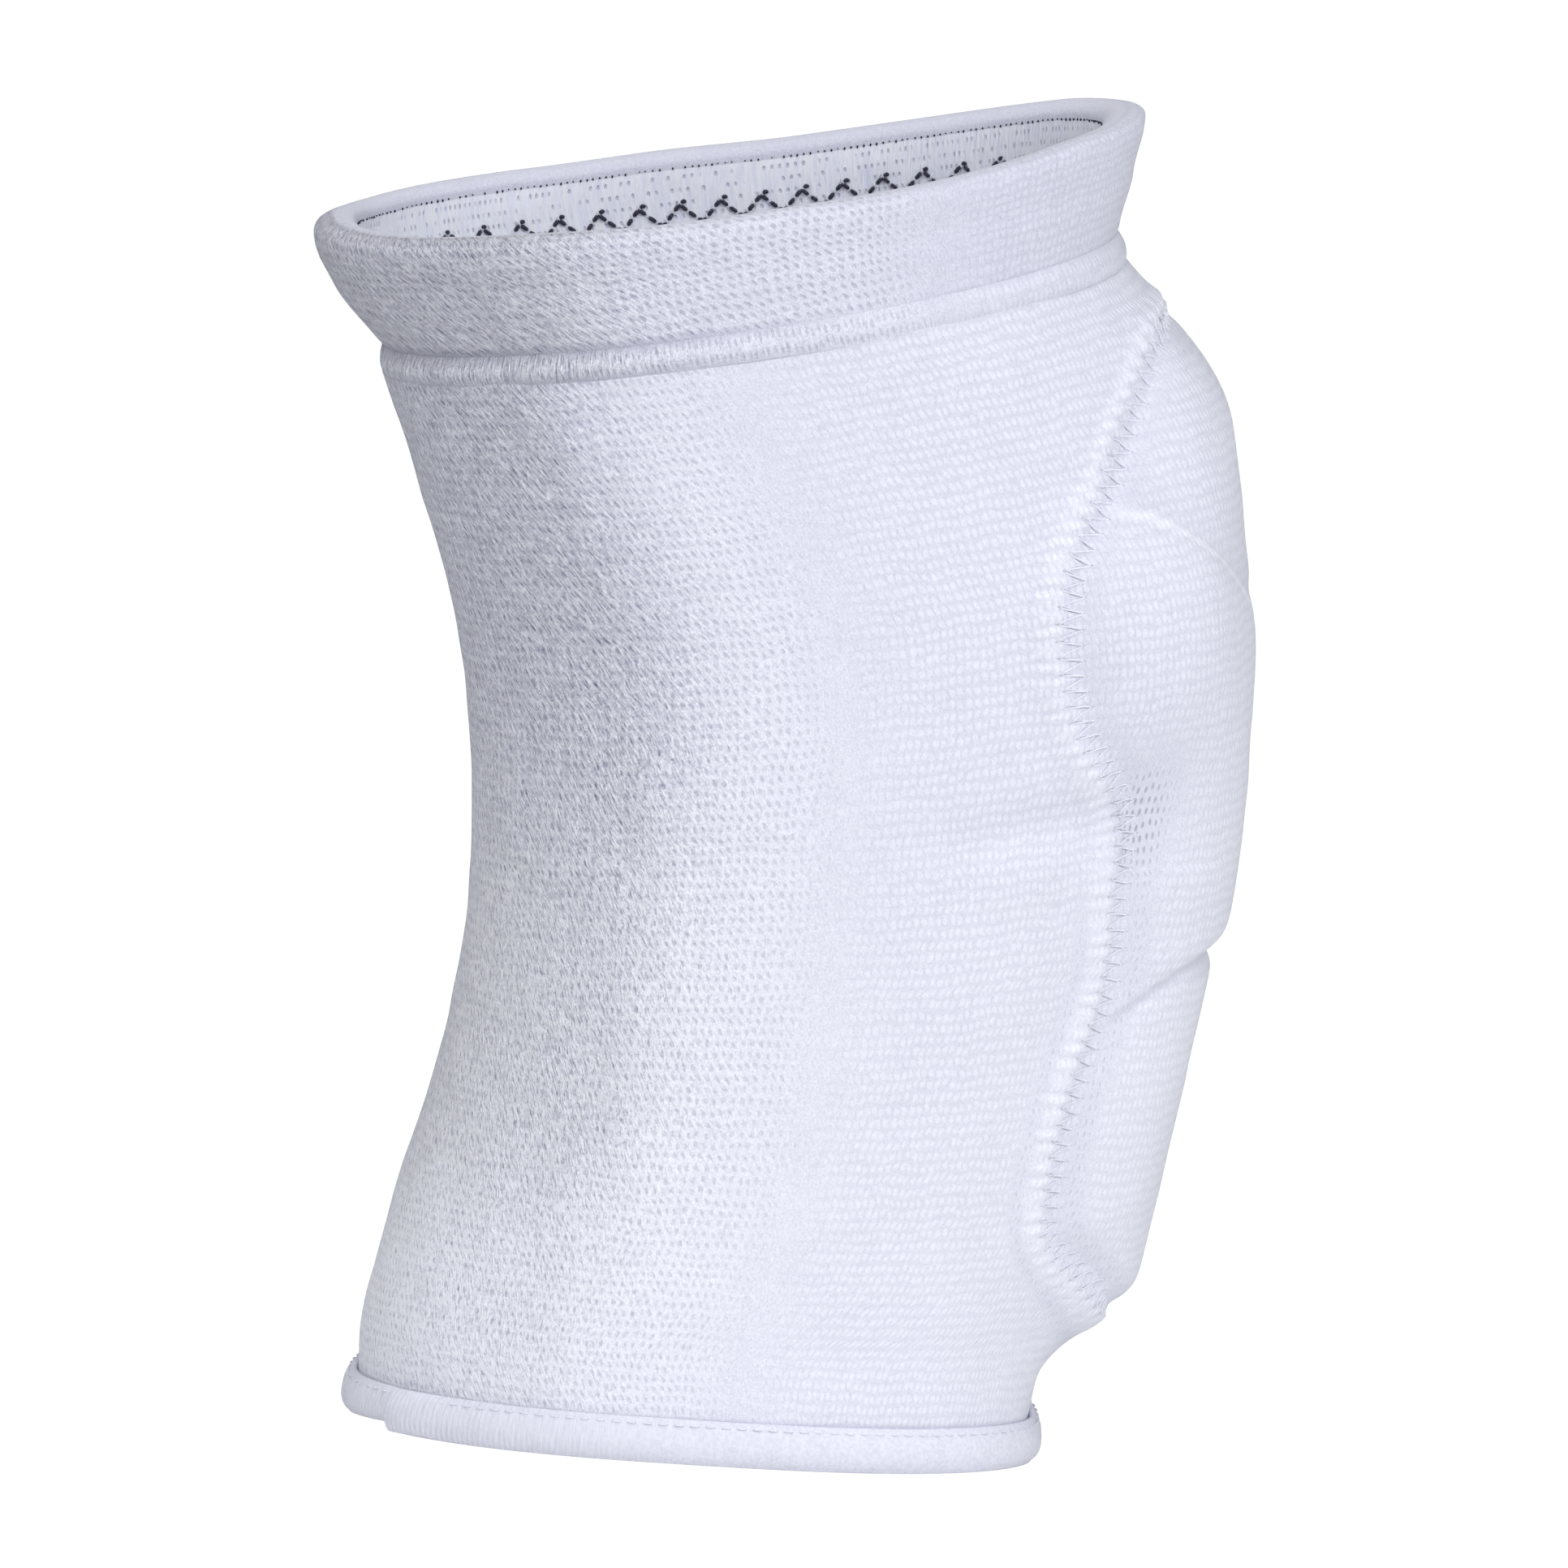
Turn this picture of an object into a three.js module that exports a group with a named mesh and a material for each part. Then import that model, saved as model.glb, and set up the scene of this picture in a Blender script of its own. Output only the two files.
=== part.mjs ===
// Volleyball knee pad: a knitted sleeve in the form that it has on a leg, with three foam pads behind
// its front panel, a doubled cuff at the top and a rolled binding at the hem.
// Millimetres. +X points to the front of the knee and +Z up, and the hem stands on z = 0.
// Both sides of y = 0 are the same, but for the lap of the binding's ends.

import * as THREE from 'three';

// Walls and gaps
const knitWall = 2;
const seamGap = 0.3;
const padGap = 0.4;
const padSideGap = 0.4;

// Sleeve, measured on its leg side
const hemDepth = 111.6;
const hemWidth = 73;
const topDepth = 122.9;
const topWidth = 83;
const topSetBack = 2.8;
const sideDip = 2.2;
const rimDip = 1.3;
const dipFrom = 0.6;
const backLength = 174;
const frontLength = 201;
const hollowDepth = 16.8;
const kneeReach = 12.8;
const kneeSwell = 9;
const ovalPower = 2.35;
const midHeight = 0.5;

// Cuff and the welt below it
const weltHeight = 5.1;
const weltSwell = 1.1;
const cuffHeight = 23;
const cuffLayer = 1.6;
const cuffSwell = 1.1;
const cuffTuck = 6;
const cuffNip = 2.2;
const cuffFlareEnd = 0.82;
const cuffSlackEnd = 0.9;
const rimDepth = 131.4;
const rimWidth = 80;
const rimSetBack = 9.4;

// Binding round the hem
const bindingHeight = 7.8;
const bindingOut = 2.7;
const bindingIn = 1.9;
const bindingGrip = 3.8;
const bindingFoot = 1;

// Lap where the binding's two ends meet, behind the knee on the side of -Y
const lapAngle = 210;
const lapTurn = 34;
const lapLift = 1.6;
const lapStep = 1.4;

// Panel, its pads and the seam round it
const panelAngle = 48;
const shinPad = 13.1;
const kneePad = 15;
const thighPad = 13.7;
const padEdge = 15;
const padEdgeAtFoot = 5;
const padRoundness = 1.8;
const footUp = 0.11;
const footEnd = 0.22;
const seamLedge = 1.2;
const seamValley = 0.7;
const seamColumn = 0.5;
const seamPoints = 72;
const seamLift = 3;
const headLift = 7.4;
const footLift = 9.4;
const liftAngle = 34;
const liftFrom = 12;
const rollWidth = 7;
const rollWidthAtFoot = 12;
const tentAngle = 26;
const topEasing = 0.25;
const creaseWidth = 2.6;
const creaseGap = 1.1;
const lowerCreaseDepth = 2;
const upperCreaseDepth = 0.9;
const upperCreaseAtSide = 2.2;
const creaseMiddle = 10;
const creaseSide = 29;
const pinchDepth = 1.6;
const pinchHeight = 5;
const pinchWidth = 14;
const pinchUp = 0.552;

// How the sleeve departs from straight lines between its hem and its top, by height.
// hollow is a share of hollowDepth behind the knee, reach of kneeReach in front of it, swell of kneeSwell.
const sleeveForm = [
  { up: 0, hollow: 0, reach: 0, swell: 0 },
  { up: 0.05, hollow: 0.05, reach: 0.1, swell: 0.14 },
  { up: 0.1, hollow: 0.17, reach: 0.22, swell: 0.28 },
  { up: 0.2, hollow: 0.42, reach: 0.45, swell: 0.55 },
  { up: 0.3, hollow: 0.7, reach: 0.68, swell: 0.76 },
  { up: 0.4, hollow: 0.9, reach: 0.88, swell: 0.92 },
  { up: 0.5, hollow: 0.99, reach: 0.99, swell: 1 },
  { up: 0.6, hollow: 0.98, reach: 1, swell: 1 },
  { up: 0.7, hollow: 0.88, reach: 0.9, swell: 0.9 },
  { up: 0.8, hollow: 0.66, reach: 0.68, swell: 0.68 },
  { up: 0.9, hollow: 0.32, reach: 0.36, swell: 0.36 },
  { up: 1, hollow: 0, reach: 0, swell: 0 },
];

// Curves that run round the sleeve, as shares of its height: the panel's foot, the creases below and
// above the knee pad, and the panel's head. across is a share of panelAngle from the front's middle.
const guides = [
  { across: 0, foot: 0.095, lower: 0.417, upper: 0.714, head: 0.955 },
  { across: 0.2, foot: 0.102, lower: 0.415, upper: 0.724, head: 0.951 },
  { across: 0.4, foot: 0.127, lower: 0.409, upper: 0.754, head: 0.932 },
  { across: 0.52, foot: 0.148, lower: 0.397, upper: 0.781, head: 0.906 },
  { across: 0.65, foot: 0.174, lower: 0.373, upper: 0.811, head: 0.873 },
  { across: 0.8, foot: 0.188, lower: 0.355, upper: 0.828, head: 0.852 },
  { across: 1, foot: 0.193, lower: 0.347, upper: 0.835, head: 0.857 },
  { across: 1.6, foot: 0.185, lower: 0.345, upper: 0.8, head: 0.88 },
  { across: 3.75, foot: 0.16, lower: 0.34, upper: 0.7, head: 0.87 },
];

// The side of the seam round the panel, from its foot up to its head
const seamLine = [
  { up: 0.095, across: 0 },
  { up: 0.105, across: 0.24 },
  { up: 0.127, across: 0.4 },
  { up: 0.148, across: 0.52 },
  { up: 0.167, across: 0.62 },
  { up: 0.19, across: 0.69 },
  { up: 0.235, across: 0.73 },
  { up: 0.28, across: 0.745 },
  { up: 0.325, across: 0.735 },
  { up: 0.37, across: 0.7 },
  { up: 0.405, across: 0.68 },
  { up: 0.44, across: 0.69 },
  { up: 0.49, across: 0.715 },
  { up: 0.53, across: 0.71 },
  { up: 0.565, across: 0.745 },
  { up: 0.603, across: 0.86 },
  { up: 0.64, across: 0.95 },
  { up: 0.69, across: 1 },
  { up: 0.735, across: 1 },
  { up: 0.775, across: 0.96 },
  { up: 0.806, across: 0.88 },
  { up: 0.83, across: 0.79 },
  { up: 0.858, across: 0.7 },
  { up: 0.882, across: 0.62 },
  { up: 0.912, across: 0.5 },
  { up: 0.936, across: 0.38 },
  { up: 0.951, across: 0.2 },
  { up: 0.955, across: 0 },
];

// Where the seam's sides turn into its foot and its head
const seamCorners = { foot: 0.167, head: 0.845 };

// Rows of the sleeve's mesh, as shares of the way between two guides.
const bands = [
  { from: 'hem', to: 'foot', shares: [0, 0.3, 0.55, 0.75, 0.9] },
  { from: 'foot', to: 'lower', shares: [0, 0.05, 0.13, 0.36, 0.62, 0.82, 0.94] },
  { from: 'lower', to: 'upper', shares: [0, 0.05, 0.13, 0.28, 0.4, 0.49, 0.58, 0.72, 0.86, 0.96] },
  { from: 'upper', to: 'head', shares: [0, 0.08, 0.35, 0.7, 0.92] },
  { from: 'head', to: 'top', shares: [0, 0.12, 0.5, 1] },
];

// Columns of the sleeve's mesh on one side: shares of the way from the front's middle to the seam,
// millimetres outside the seam, and shares of the way from there to the back.
const columns = {
  inside: [0, 0.2, 0.4, 0.57, 0.72, 0.86, 1],
  round: [0, 2.4, 5.4, 9.5],
  outside: [0.09, 0.18, 0.28, 0.39, 0.5, 0.61, 0.71, 0.81, 0.91, 1],
};

const cloth = (name, colour) => new THREE.MeshStandardMaterial({
  name, color: colour, roughness: 0.9, metalness: 0 });
const knitCloth = cloth('knit', 0xe9eaf4);
const cuffCloth = cloth('cuff_knit', 0xe4e5f0);
const bindingCloth = cloth('binding_thread', 0xdfe0ee);
const padFoam = cloth('backed_foam', 0xf1f1f5);

// Smooth curve through a table's column, level with its own end slopes
function along(table, key, at, column) {
  const last = table.length - 1;
  const place = THREE.MathUtils.clamp(at, table[0][key], table[last][key]);
  let row = 0;
  while (row < last - 1 && place > table[row + 1][key]) {
    row += 1;
  }
  const slope = (i) => {
    const before = table[Math.max(i - 1, 0)];
    const after = table[Math.min(i + 1, last)];
    return (after[column] - before[column]) / (after[key] - before[key]);
  };
  const width = table[row + 1][key] - table[row][key];
  const t = (place - table[row][key]) / width;
  const start = table[row][column] * (1 + 2 * t) * (1 - t) ** 2 + slope(row) * width * t * (1 - t) ** 2;
  const end = table[row + 1][column] * t * t * (3 - 2 * t) - slope(row + 1) * width * t * t * (1 - t);
  return start + end;
}

// Where the leg side of the knit lies at a height: the back and front points and half the width.
// up runs from 0 at the top of the binding to 1 at the bottom of the welt.
function sleeveSection(up) {
  const hollow = hollowDepth * along(sleeveForm, 'up', up, 'hollow');
  const reach = kneeReach * along(sleeveForm, 'up', up, 'reach');
  const swell = kneeSwell * along(sleeveForm, 'up', up, 'swell');
  const depth = THREE.MathUtils.lerp(hemDepth, topDepth, up);
  const width = THREE.MathUtils.lerp(hemWidth, topWidth, up) + swell;
  return {
    back: new THREE.Vector3(hollow - depth / 2 - topSetBack * up, 0, bindingHeight + backLength * up),
    front: new THREE.Vector3(reach + depth / 2 - topSetBack * up, 0, bindingHeight + frontLength * up),
    half: width / 2,
    dip: sideDip * THREE.MathUtils.smoothstep(up, dipFrom, 1),
  };
}

// The same above the welt's bottom, from 0 there to 1 at the rim
function cuffSection(rise) {
  const below = sleeveSection(1);
  const height = (weltHeight + cuffHeight) * rise;
  const nip = cuffNip * Math.min(1, height / weltHeight);
  const slack = THREE.MathUtils.smoothstep(height, weltHeight, weltHeight + cuffHeight * cuffSlackEnd);
  const opened = Math.max(0, height - weltHeight) / (cuffHeight * cuffFlareEnd);
  const flare = Math.sin(Math.min(1, opened) * Math.PI / 2);
  const rimBack = -rimDepth / 2 - rimSetBack;
  const rimFront = rimDepth / 2 - rimSetBack;
  return {
    back: new THREE.Vector3(THREE.MathUtils.lerp(below.back.x, rimBack, flare), 0, below.back.z + height),
    front: new THREE.Vector3(
      THREE.MathUtils.lerp(below.front.x - nip, rimFront, slack), 0, below.front.z + height),
    half: THREE.MathUtils.lerp(below.half, rimWidth / 2, flare),
    dip: sideDip + rimDip * flare,
  };
}

// The same below the sleeve's hem, at a height over the floor
function bindingSection(z) {
  const hem = sleeveSection(0);
  return { back: hem.back.clone().setZ(z), front: hem.front.clone().setZ(z), half: hem.half, dip: 0 };
}

// A point lifted off the leg side of a section, at an angle from the front's middle
function pointOn(section, angle, lift) {
  const c = Math.cos(THREE.MathUtils.degToRad(angle));
  const s = Math.sin(THREE.MathUtils.degToRad(angle));
  const size = (Math.abs(c) ** ovalPower + Math.abs(s) ** ovalPower) ** (1 / ovalPower);
  const reach = section.front.clone().sub(section.back).multiplyScalar(0.5);
  const point = section.back.clone().add(section.front).multiplyScalar(0.5);
  point.addScaledVector(reach, c / size);
  point.y += (section.half * s) / size;
  point.z -= section.dip * s * s;
  const outward = reach.clone().normalize();
  outward.multiplyScalar((Math.sign(c) * Math.abs(c) ** (ovalPower - 1)) / reach.length());
  outward.y = (Math.sign(s) * Math.abs(s) ** (ovalPower - 1)) / section.half;
  return point.addScaledVector(outward.normalize(), lift);
}

// Millimetres round the leg for each degree, on the panel
const panelArc = THREE.MathUtils.degToRad((hemWidth + topWidth + kneePad) / 4 + kneeSwell / 2);

const onPanel = (angle, up) => new THREE.Vector2(Math.abs(angle) * panelArc, up * frontLength);
const seamPath = new THREE.SplineCurve(seamLine.map((row) => onPanel(row.across * panelAngle, row.up)))
  .getSpacedPoints(seamPoints);

// Millimetres inside the seam round the panel, below 0 outside it
function insideSeam(angle, up) {
  const here = onPanel(angle, up);
  let nearest = Infinity;
  let crossings = 0;
  for (let i = 0; i + 1 < seamPath.length; i += 1) {
    const start = seamPath[i];
    const step = seamPath[i + 1].clone().sub(start);
    const t = THREE.MathUtils.clamp(here.clone().sub(start).dot(step) / step.lengthSq(), 0, 1);
    nearest = Math.min(nearest, here.distanceTo(start.clone().addScaledVector(step, t)));
    const spans = (start.y > here.y) !== (start.y + step.y > here.y);
    if (spans && start.x + (step.x * (here.y - start.y)) / step.y > here.x) {
      crossings += 1;
    }
  }
  return crossings % 2 === 1 ? nearest : -nearest;
}

const guide = (angle, name) => along(guides, 'across', Math.abs(angle) / panelAngle, name);

// The seam's angle at a height, held steady past its corners
function seamAngle(up) {
  const held = THREE.MathUtils.clamp(up, seamCorners.foot, seamCorners.head);
  return panelAngle * along(seamLine, 'up', held, 'across');
}

// How far the seam stands off the leg: more in the middle, where the pads' ends hold it out
function liftOfSeam(angle, up) {
  const end = up > midHeight ? headLift : footLift;
  const share = THREE.MathUtils.smoothstep(Math.abs(angle), liftFrom, liftAngle);
  return THREE.MathUtils.lerp(end, seamLift, share);
}

// Thickness of the pad behind a point of the panel, eased across the creases
function padThickness(angle, up) {
  const ease = creaseWidth / frontLength;
  const lower = guide(angle, 'lower');
  const upper = guide(angle, 'upper');
  const knee = THREE.MathUtils.smoothstep(up, lower - ease, lower + ease);
  const thigh = THREE.MathUtils.smoothstep(up, upper - ease, upper + ease);
  return shinPad + (kneePad - shinPad) * knee + (thighPad - kneePad) * thigh;
}

function crease(angle, up, name, depth) {
  const distance = (up - guide(angle, name)) * frontLength;
  return depth * Math.exp(-((distance / creaseWidth) ** 2));
}

function creases(angle, up) {
  const side = THREE.MathUtils.smoothstep(Math.abs(angle), creaseMiddle, creaseSide);
  const upper = THREE.MathUtils.lerp(upperCreaseDepth, upperCreaseAtSide, side);
  return crease(angle, up, 'lower', lowerCreaseDepth) + crease(angle, up, 'upper', upper);
}

// The pinch at the panel's waist, where the knit is drawn in
function pinch(angle, up) {
  const round = ((Math.abs(angle) - panelAngle) * panelArc) / pinchWidth;
  const high = ((up - pinchUp) * frontLength) / pinchHeight;
  return pinchDepth * Math.exp(-round * round - high * high);
}

// How far the knit's inner face stands off the leg
function relief(angle, up) {
  const inside = insideSeam(angle, up);
  const seam = liftOfSeam(angle, up);
  const foot = 1 - THREE.MathUtils.smoothstep(up, footUp, footEnd);
  const stitched = seam - seamValley * Math.exp(-((inside / seamLedge) ** 2));
  if (inside > seamLedge) {
    const edge = THREE.MathUtils.lerp(padEdge, padEdgeAtFoot, foot);
    const crown = 1 - (1 - Math.min(1, (inside - seamLedge) / edge)) ** padRoundness;
    return stitched + (padThickness(angle, up) - creases(angle, up) - seam) * crown;
  }
  if (inside > -seamLedge) {
    return stitched;
  }
  const width = THREE.MathUtils.lerp(rollWidth, rollWidthAtFoot, foot);
  const roll = Math.max(0, 1 + (inside + seamLedge) / width) ** 2;
  const head = guide(angle, 'head');
  const tent = up > head ? Math.max(0, (1 - up) / (1 - head)) : 0;
  const tented = tent * (1 - THREE.MathUtils.smoothstep(Math.abs(angle), tentAngle, panelAngle));
  return stitched * Math.max(roll * Math.min(1, (1 - up) / topEasing), tented) - pinch(angle, up);
}

// Angles all round, in order, from those of one side
const allRound = (angles) => [...angles, ...angles.slice(1, -1).reverse().map((angle) => -angle)];

// Two triangles on four corners in turn, split along the shorter diagonal
function twoTriangles(points, a, b, c, d) {
  const across = points[a].distanceTo(points[c]) <= points[b].distanceTo(points[d]);
  return across ? [a, b, c, a, c, d] : [a, b, d, b, c, d];
}

// One closed body from outlines that follow each other: a ring of them, or a bar with both ends closed
function bodyThrough(outlines, closedRing) {
  const count = outlines[0].length;
  const points = outlines.flat();
  const faces = [];
  const spans = closedRing ? outlines.length : outlines.length - 1;
  for (let i = 0; i < spans; i += 1) {
    const here = i * count;
    const next = ((i + 1) % outlines.length) * count;
    for (let j = 0; j < count; j += 1) {
      const k = (j + 1) % count;
      faces.push(...twoTriangles(points, here + j, next + j, next + k, here + k));
    }
  }
  if (!closedRing) {
    faces.push(...endFaces(points, 0, count, false), ...endFaces(points, spans * count, count, true));
  }
  const body = new THREE.BufferGeometry();
  const coordinates = points.flatMap((point) => point.toArray());
  body.setAttribute('position', new THREE.Float32BufferAttribute(coordinates, 3));
  body.setIndex(faces);
  body.computeVertexNormals();
  return body;
}

// Triangles across an outline whose second half comes back beside its first half
function endFaces(points, first, count, far) {
  const faces = [];
  for (let j = 0; 2 * j + 3 < count; j += 1) {
    const corners = [first + j, first + j + 1, first + count - 2 - j, first + count - 1 - j];
    faces.push(...twoTriangles(points, ...(far ? corners.reverse() : corners)));
  }
  return faces;
}

function piece(name, geometry, material) {
  const mesh = new THREE.Mesh(geometry, material);
  mesh.name = name;
  return mesh;
}

// A height between two guides at an angle, as a share of the sleeve's height
function between(angle, from, to, share) {
  const height = (name) => ({ hem: 0, top: 1 })[name] ?? guide(angle, name);
  return THREE.MathUtils.lerp(height(from), height(to), share);
}

// The columns inside the seam at a height, as angles on one side
function insideColumns(up) {
  const first = seamAngle(up) - seamLedge / panelArc;
  return columns.inside.map((share) => first * share);
}

// All the sleeve's columns at a height, as angles all round
function columnsAt(up) {
  const outer = columns.round.map((off) => seamAngle(up) + (seamLedge * seamColumn + off) / panelArc);
  const last = outer[outer.length - 1];
  const behind = columns.outside.map((share) => THREE.MathUtils.lerp(last, 180, share));
  return allRound([...insideColumns(up), ...outer, ...behind]);
}

function sleeve() {
  const hem = bindingSection(bindingHeight - bindingGrip);
  const seam = cuffSection(weltHeight / (weltHeight + cuffHeight));
  const tucked = cuffSection((weltHeight + cuffTuck) / (weltHeight + cuffHeight));
  const rows = bands.flatMap(({ from, to, shares }) => shares.map((share) => {
    const level = between(panelAngle, from, to, share);
    return columnsAt(level).map((angle) => ({ angle, up: between(angle, from, to, share) }));
  }));
  const outlines = rows[0].map((foot, column) => {
    const top = rows[rows.length - 1][column];
    const wall = (lift) => [
      pointOn(hem, foot.angle, lift),
      ...rows.map((row) => row[column]).map(({ angle, up }) =>
        pointOn(sleeveSection(up), angle, relief(angle, up) + lift)),
      pointOn(seam, top.angle, lift),
      pointOn(tucked, top.angle, lift),
    ];
    return [...wall(knitWall), ...wall(0).reverse()];
  });
  return piece('sleeve', bodyThrough(outlines, true), knitCloth);
}

// A foam pad behind the knit between two guides, clear of them by its margins in millimetres.
// Its rows and columns lie behind the sleeve's own.
function pad(name, from, to, margins) {
  const { shares } = bands.find((band) => band.from === from && band.to === to);
  const rows = [...shares, 1].map((share) => {
    const half = insideColumns(between(panelAngle, from, to, share));
    half[half.length - 1] -= padSideGap / panelArc;
    const angles = [...half.slice(1).reverse().map((angle) => -angle), ...half];
    return angles.map((angle) => {
      const low = between(angle, from, to, 0) + margins.low / frontLength;
      const high = between(angle, from, to, 1) - margins.high / frontLength;
      return { angle, up: THREE.MathUtils.clamp(between(angle, from, to, share), low, high) };
    });
  });
  const outlines = rows[0].map((_, column) => {
    const wall = (liftAt) => rows.map((row) => row[column]).map(({ angle, up }) =>
      pointOn(sleeveSection(up), angle, liftAt(angle, up)));
    return [...wall((angle, up) => relief(angle, up) - padGap), ...wall(() => 0).reverse()];
  });
  return piece(name, bodyThrough(outlines, false), padFoam);
}

// The three pads, each inside the seam and the creases that part it from the next
function pads() {
  const parting = creaseGap / 2;
  const edge = seamLedge + padGap;
  return [
    pad('pad_shin', 'foot', 'lower', { low: edge, high: parting }),
    pad('pad_knee', 'lower', 'upper', { low: parting, high: parting }),
    pad('pad_thigh', 'upper', 'head', { low: parting, high: edge }),
  ];
}

// The doubled band: two layers over the sleeve's top edge, folded together at the rim.
// rise is the height over the welt and off is the distance from the leg side.
function cuff() {
  const outer = knitWall + seamGap + cuffLayer;
  const inner = -seamGap - cuffLayer;
  const slotTop = cuffTuck + seamGap;
  const profile = [
    { rise: seamGap, off: outer - 0.5 * cuffLayer },
    { rise: cuffHeight * 0.08, off: outer },
    { rise: cuffHeight * 0.45, off: outer },
    { rise: cuffHeight * 0.8, off: outer + cuffSwell * 0.8 },
    { rise: cuffHeight * 0.91, off: outer + cuffSwell },
    { rise: cuffHeight * 0.98, off: outer - cuffLayer * 0.5 },
    { rise: cuffHeight, off: (outer + inner) / 2 },
    { rise: cuffHeight * 0.98, off: inner + cuffLayer * 0.5 },
    { rise: cuffHeight * 0.9, off: inner - cuffSwell * 0.4 },
    { rise: cuffHeight * 0.45, off: inner },
    { rise: seamGap, off: inner + 0.2 * cuffLayer },
    { rise: seamGap, off: -seamGap },
    { rise: slotTop, off: -seamGap },
    { rise: slotTop, off: knitWall + seamGap },
    { rise: seamGap, off: knitWall + seamGap },
  ];
  const outlines = columnsAt(1).map((angle) => profile.map(({ rise, off }) =>
    pointOn(cuffSection((weltHeight + rise) / (weltHeight + cuffHeight)), angle, off)));
  return piece('cuff', bodyThrough(outlines, true), cuffCloth);
}

// The narrow ribbed welt between the cuff's two seams, on the outside of the sleeve
function cuffWelt() {
  const face = knitWall + seamGap;
  const profile = [
    { rise: weltHeight * 0.03, off: face },
    { rise: weltHeight * 0.08, off: face + weltSwell * 0.5 },
    { rise: weltHeight * 0.5, off: face + weltSwell },
    { rise: weltHeight * 0.92, off: face + weltSwell * 0.6 },
    { rise: weltHeight, off: face },
  ];
  const outlines = columnsAt(1).map((angle) => profile.map(({ rise, off }) =>
    pointOn(cuffSection(rise / (weltHeight + cuffHeight)), angle, off)));
  return piece('cuff_welt', bodyThrough(outlines, true), cuffCloth);
}

// How far the binding's under side is drawn up at an angle past the lap of its two ends
function lapRaise(past) {
  if (past < 0 || past > lapTurn) {
    return 0;
  }
  return lapLift * Math.min(1, past / lapStep) * (1 - past / lapTurn);
}

// The roll that grips the sleeve's lower edge, flat where it stands
function hemBinding() {
  const outer = knitWall + bindingOut;
  const slotFloor = bindingHeight - bindingGrip - seamGap;
  const profile = [
    { z: 0, off: -bindingFoot },
    { z: 0, off: knitWall + bindingFoot },
    { z: bindingHeight * 0.12, off: outer - bindingOut * 0.35 },
    { z: bindingHeight * 0.35, off: outer },
    { z: bindingHeight * 0.62, off: outer - bindingOut * 0.05 },
    { z: bindingHeight * 0.88, off: outer - bindingOut * 0.35 },
    { z: bindingHeight, off: knitWall + bindingOut * 0.35 },
    { z: bindingHeight * 0.96, off: knitWall + seamGap },
    { z: slotFloor, off: knitWall + seamGap },
    { z: slotFloor, off: -seamGap },
    { z: bindingHeight * 0.94, off: -seamGap },
    { z: bindingHeight * 0.85, off: -bindingIn * 0.75 },
    { z: bindingHeight * 0.45, off: -bindingIn },
    { z: bindingHeight * 0.12, off: -bindingIn * 0.85 },
  ];
  const angles = columnsAt(0).map((angle) => (angle + 360) % 360).sort((a, b) => a - b);
  const lap = angles.find((angle) => angle >= lapAngle);
  angles.splice(angles.indexOf(lap), 0, lap - lapStep);
  const outlines = angles.map((angle) => {
    const raised = lapRaise(lap - angle);
    return profile.map(({ z, off }) => {
      const share = Math.max(0, 1 - z / slotFloor);
      return pointOn(bindingSection(z + raised * share), angle, off);
    });
  });
  return piece('hem_binding', bodyThrough(outlines, true), bindingCloth);
}

const group = new THREE.Group();
group.add(sleeve(), ...pads(), cuff(), cuffWelt(), hemBinding());

// The origin is the middle of the floor under the whole pad
const extent = new THREE.Box3().setFromObject(group, true);
group.position.set(-(extent.min.x + extent.max.x) / 2, 0, -extent.min.z);

export default group;
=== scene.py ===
# Volleyball knee pad: its knit, cuff, binding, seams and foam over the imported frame.
# Shapes are in millimetres until a mesh is made, and angles in degrees from the front's middle.

import bpy
import numpy as np
from mathutils import Matrix, Vector


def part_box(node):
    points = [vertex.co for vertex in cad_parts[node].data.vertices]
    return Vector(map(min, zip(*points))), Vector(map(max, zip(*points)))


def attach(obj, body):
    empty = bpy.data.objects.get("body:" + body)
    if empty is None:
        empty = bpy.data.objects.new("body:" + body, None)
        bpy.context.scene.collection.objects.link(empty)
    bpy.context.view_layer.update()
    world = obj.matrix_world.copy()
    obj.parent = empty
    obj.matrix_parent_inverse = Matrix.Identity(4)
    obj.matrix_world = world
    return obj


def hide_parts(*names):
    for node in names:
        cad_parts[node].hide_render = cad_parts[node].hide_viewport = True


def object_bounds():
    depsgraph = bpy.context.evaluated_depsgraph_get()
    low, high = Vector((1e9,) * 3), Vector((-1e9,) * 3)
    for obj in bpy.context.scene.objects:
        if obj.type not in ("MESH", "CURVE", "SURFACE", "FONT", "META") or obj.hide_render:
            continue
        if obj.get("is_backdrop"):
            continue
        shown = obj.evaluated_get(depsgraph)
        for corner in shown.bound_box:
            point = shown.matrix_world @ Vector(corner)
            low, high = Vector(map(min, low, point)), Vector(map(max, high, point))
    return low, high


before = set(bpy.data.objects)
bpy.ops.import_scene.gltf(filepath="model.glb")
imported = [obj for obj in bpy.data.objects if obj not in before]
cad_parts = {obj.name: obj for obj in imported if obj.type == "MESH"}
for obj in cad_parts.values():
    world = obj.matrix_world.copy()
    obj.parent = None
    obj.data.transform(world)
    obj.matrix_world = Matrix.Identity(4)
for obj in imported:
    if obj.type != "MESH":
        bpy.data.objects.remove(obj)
cad_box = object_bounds()

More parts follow.
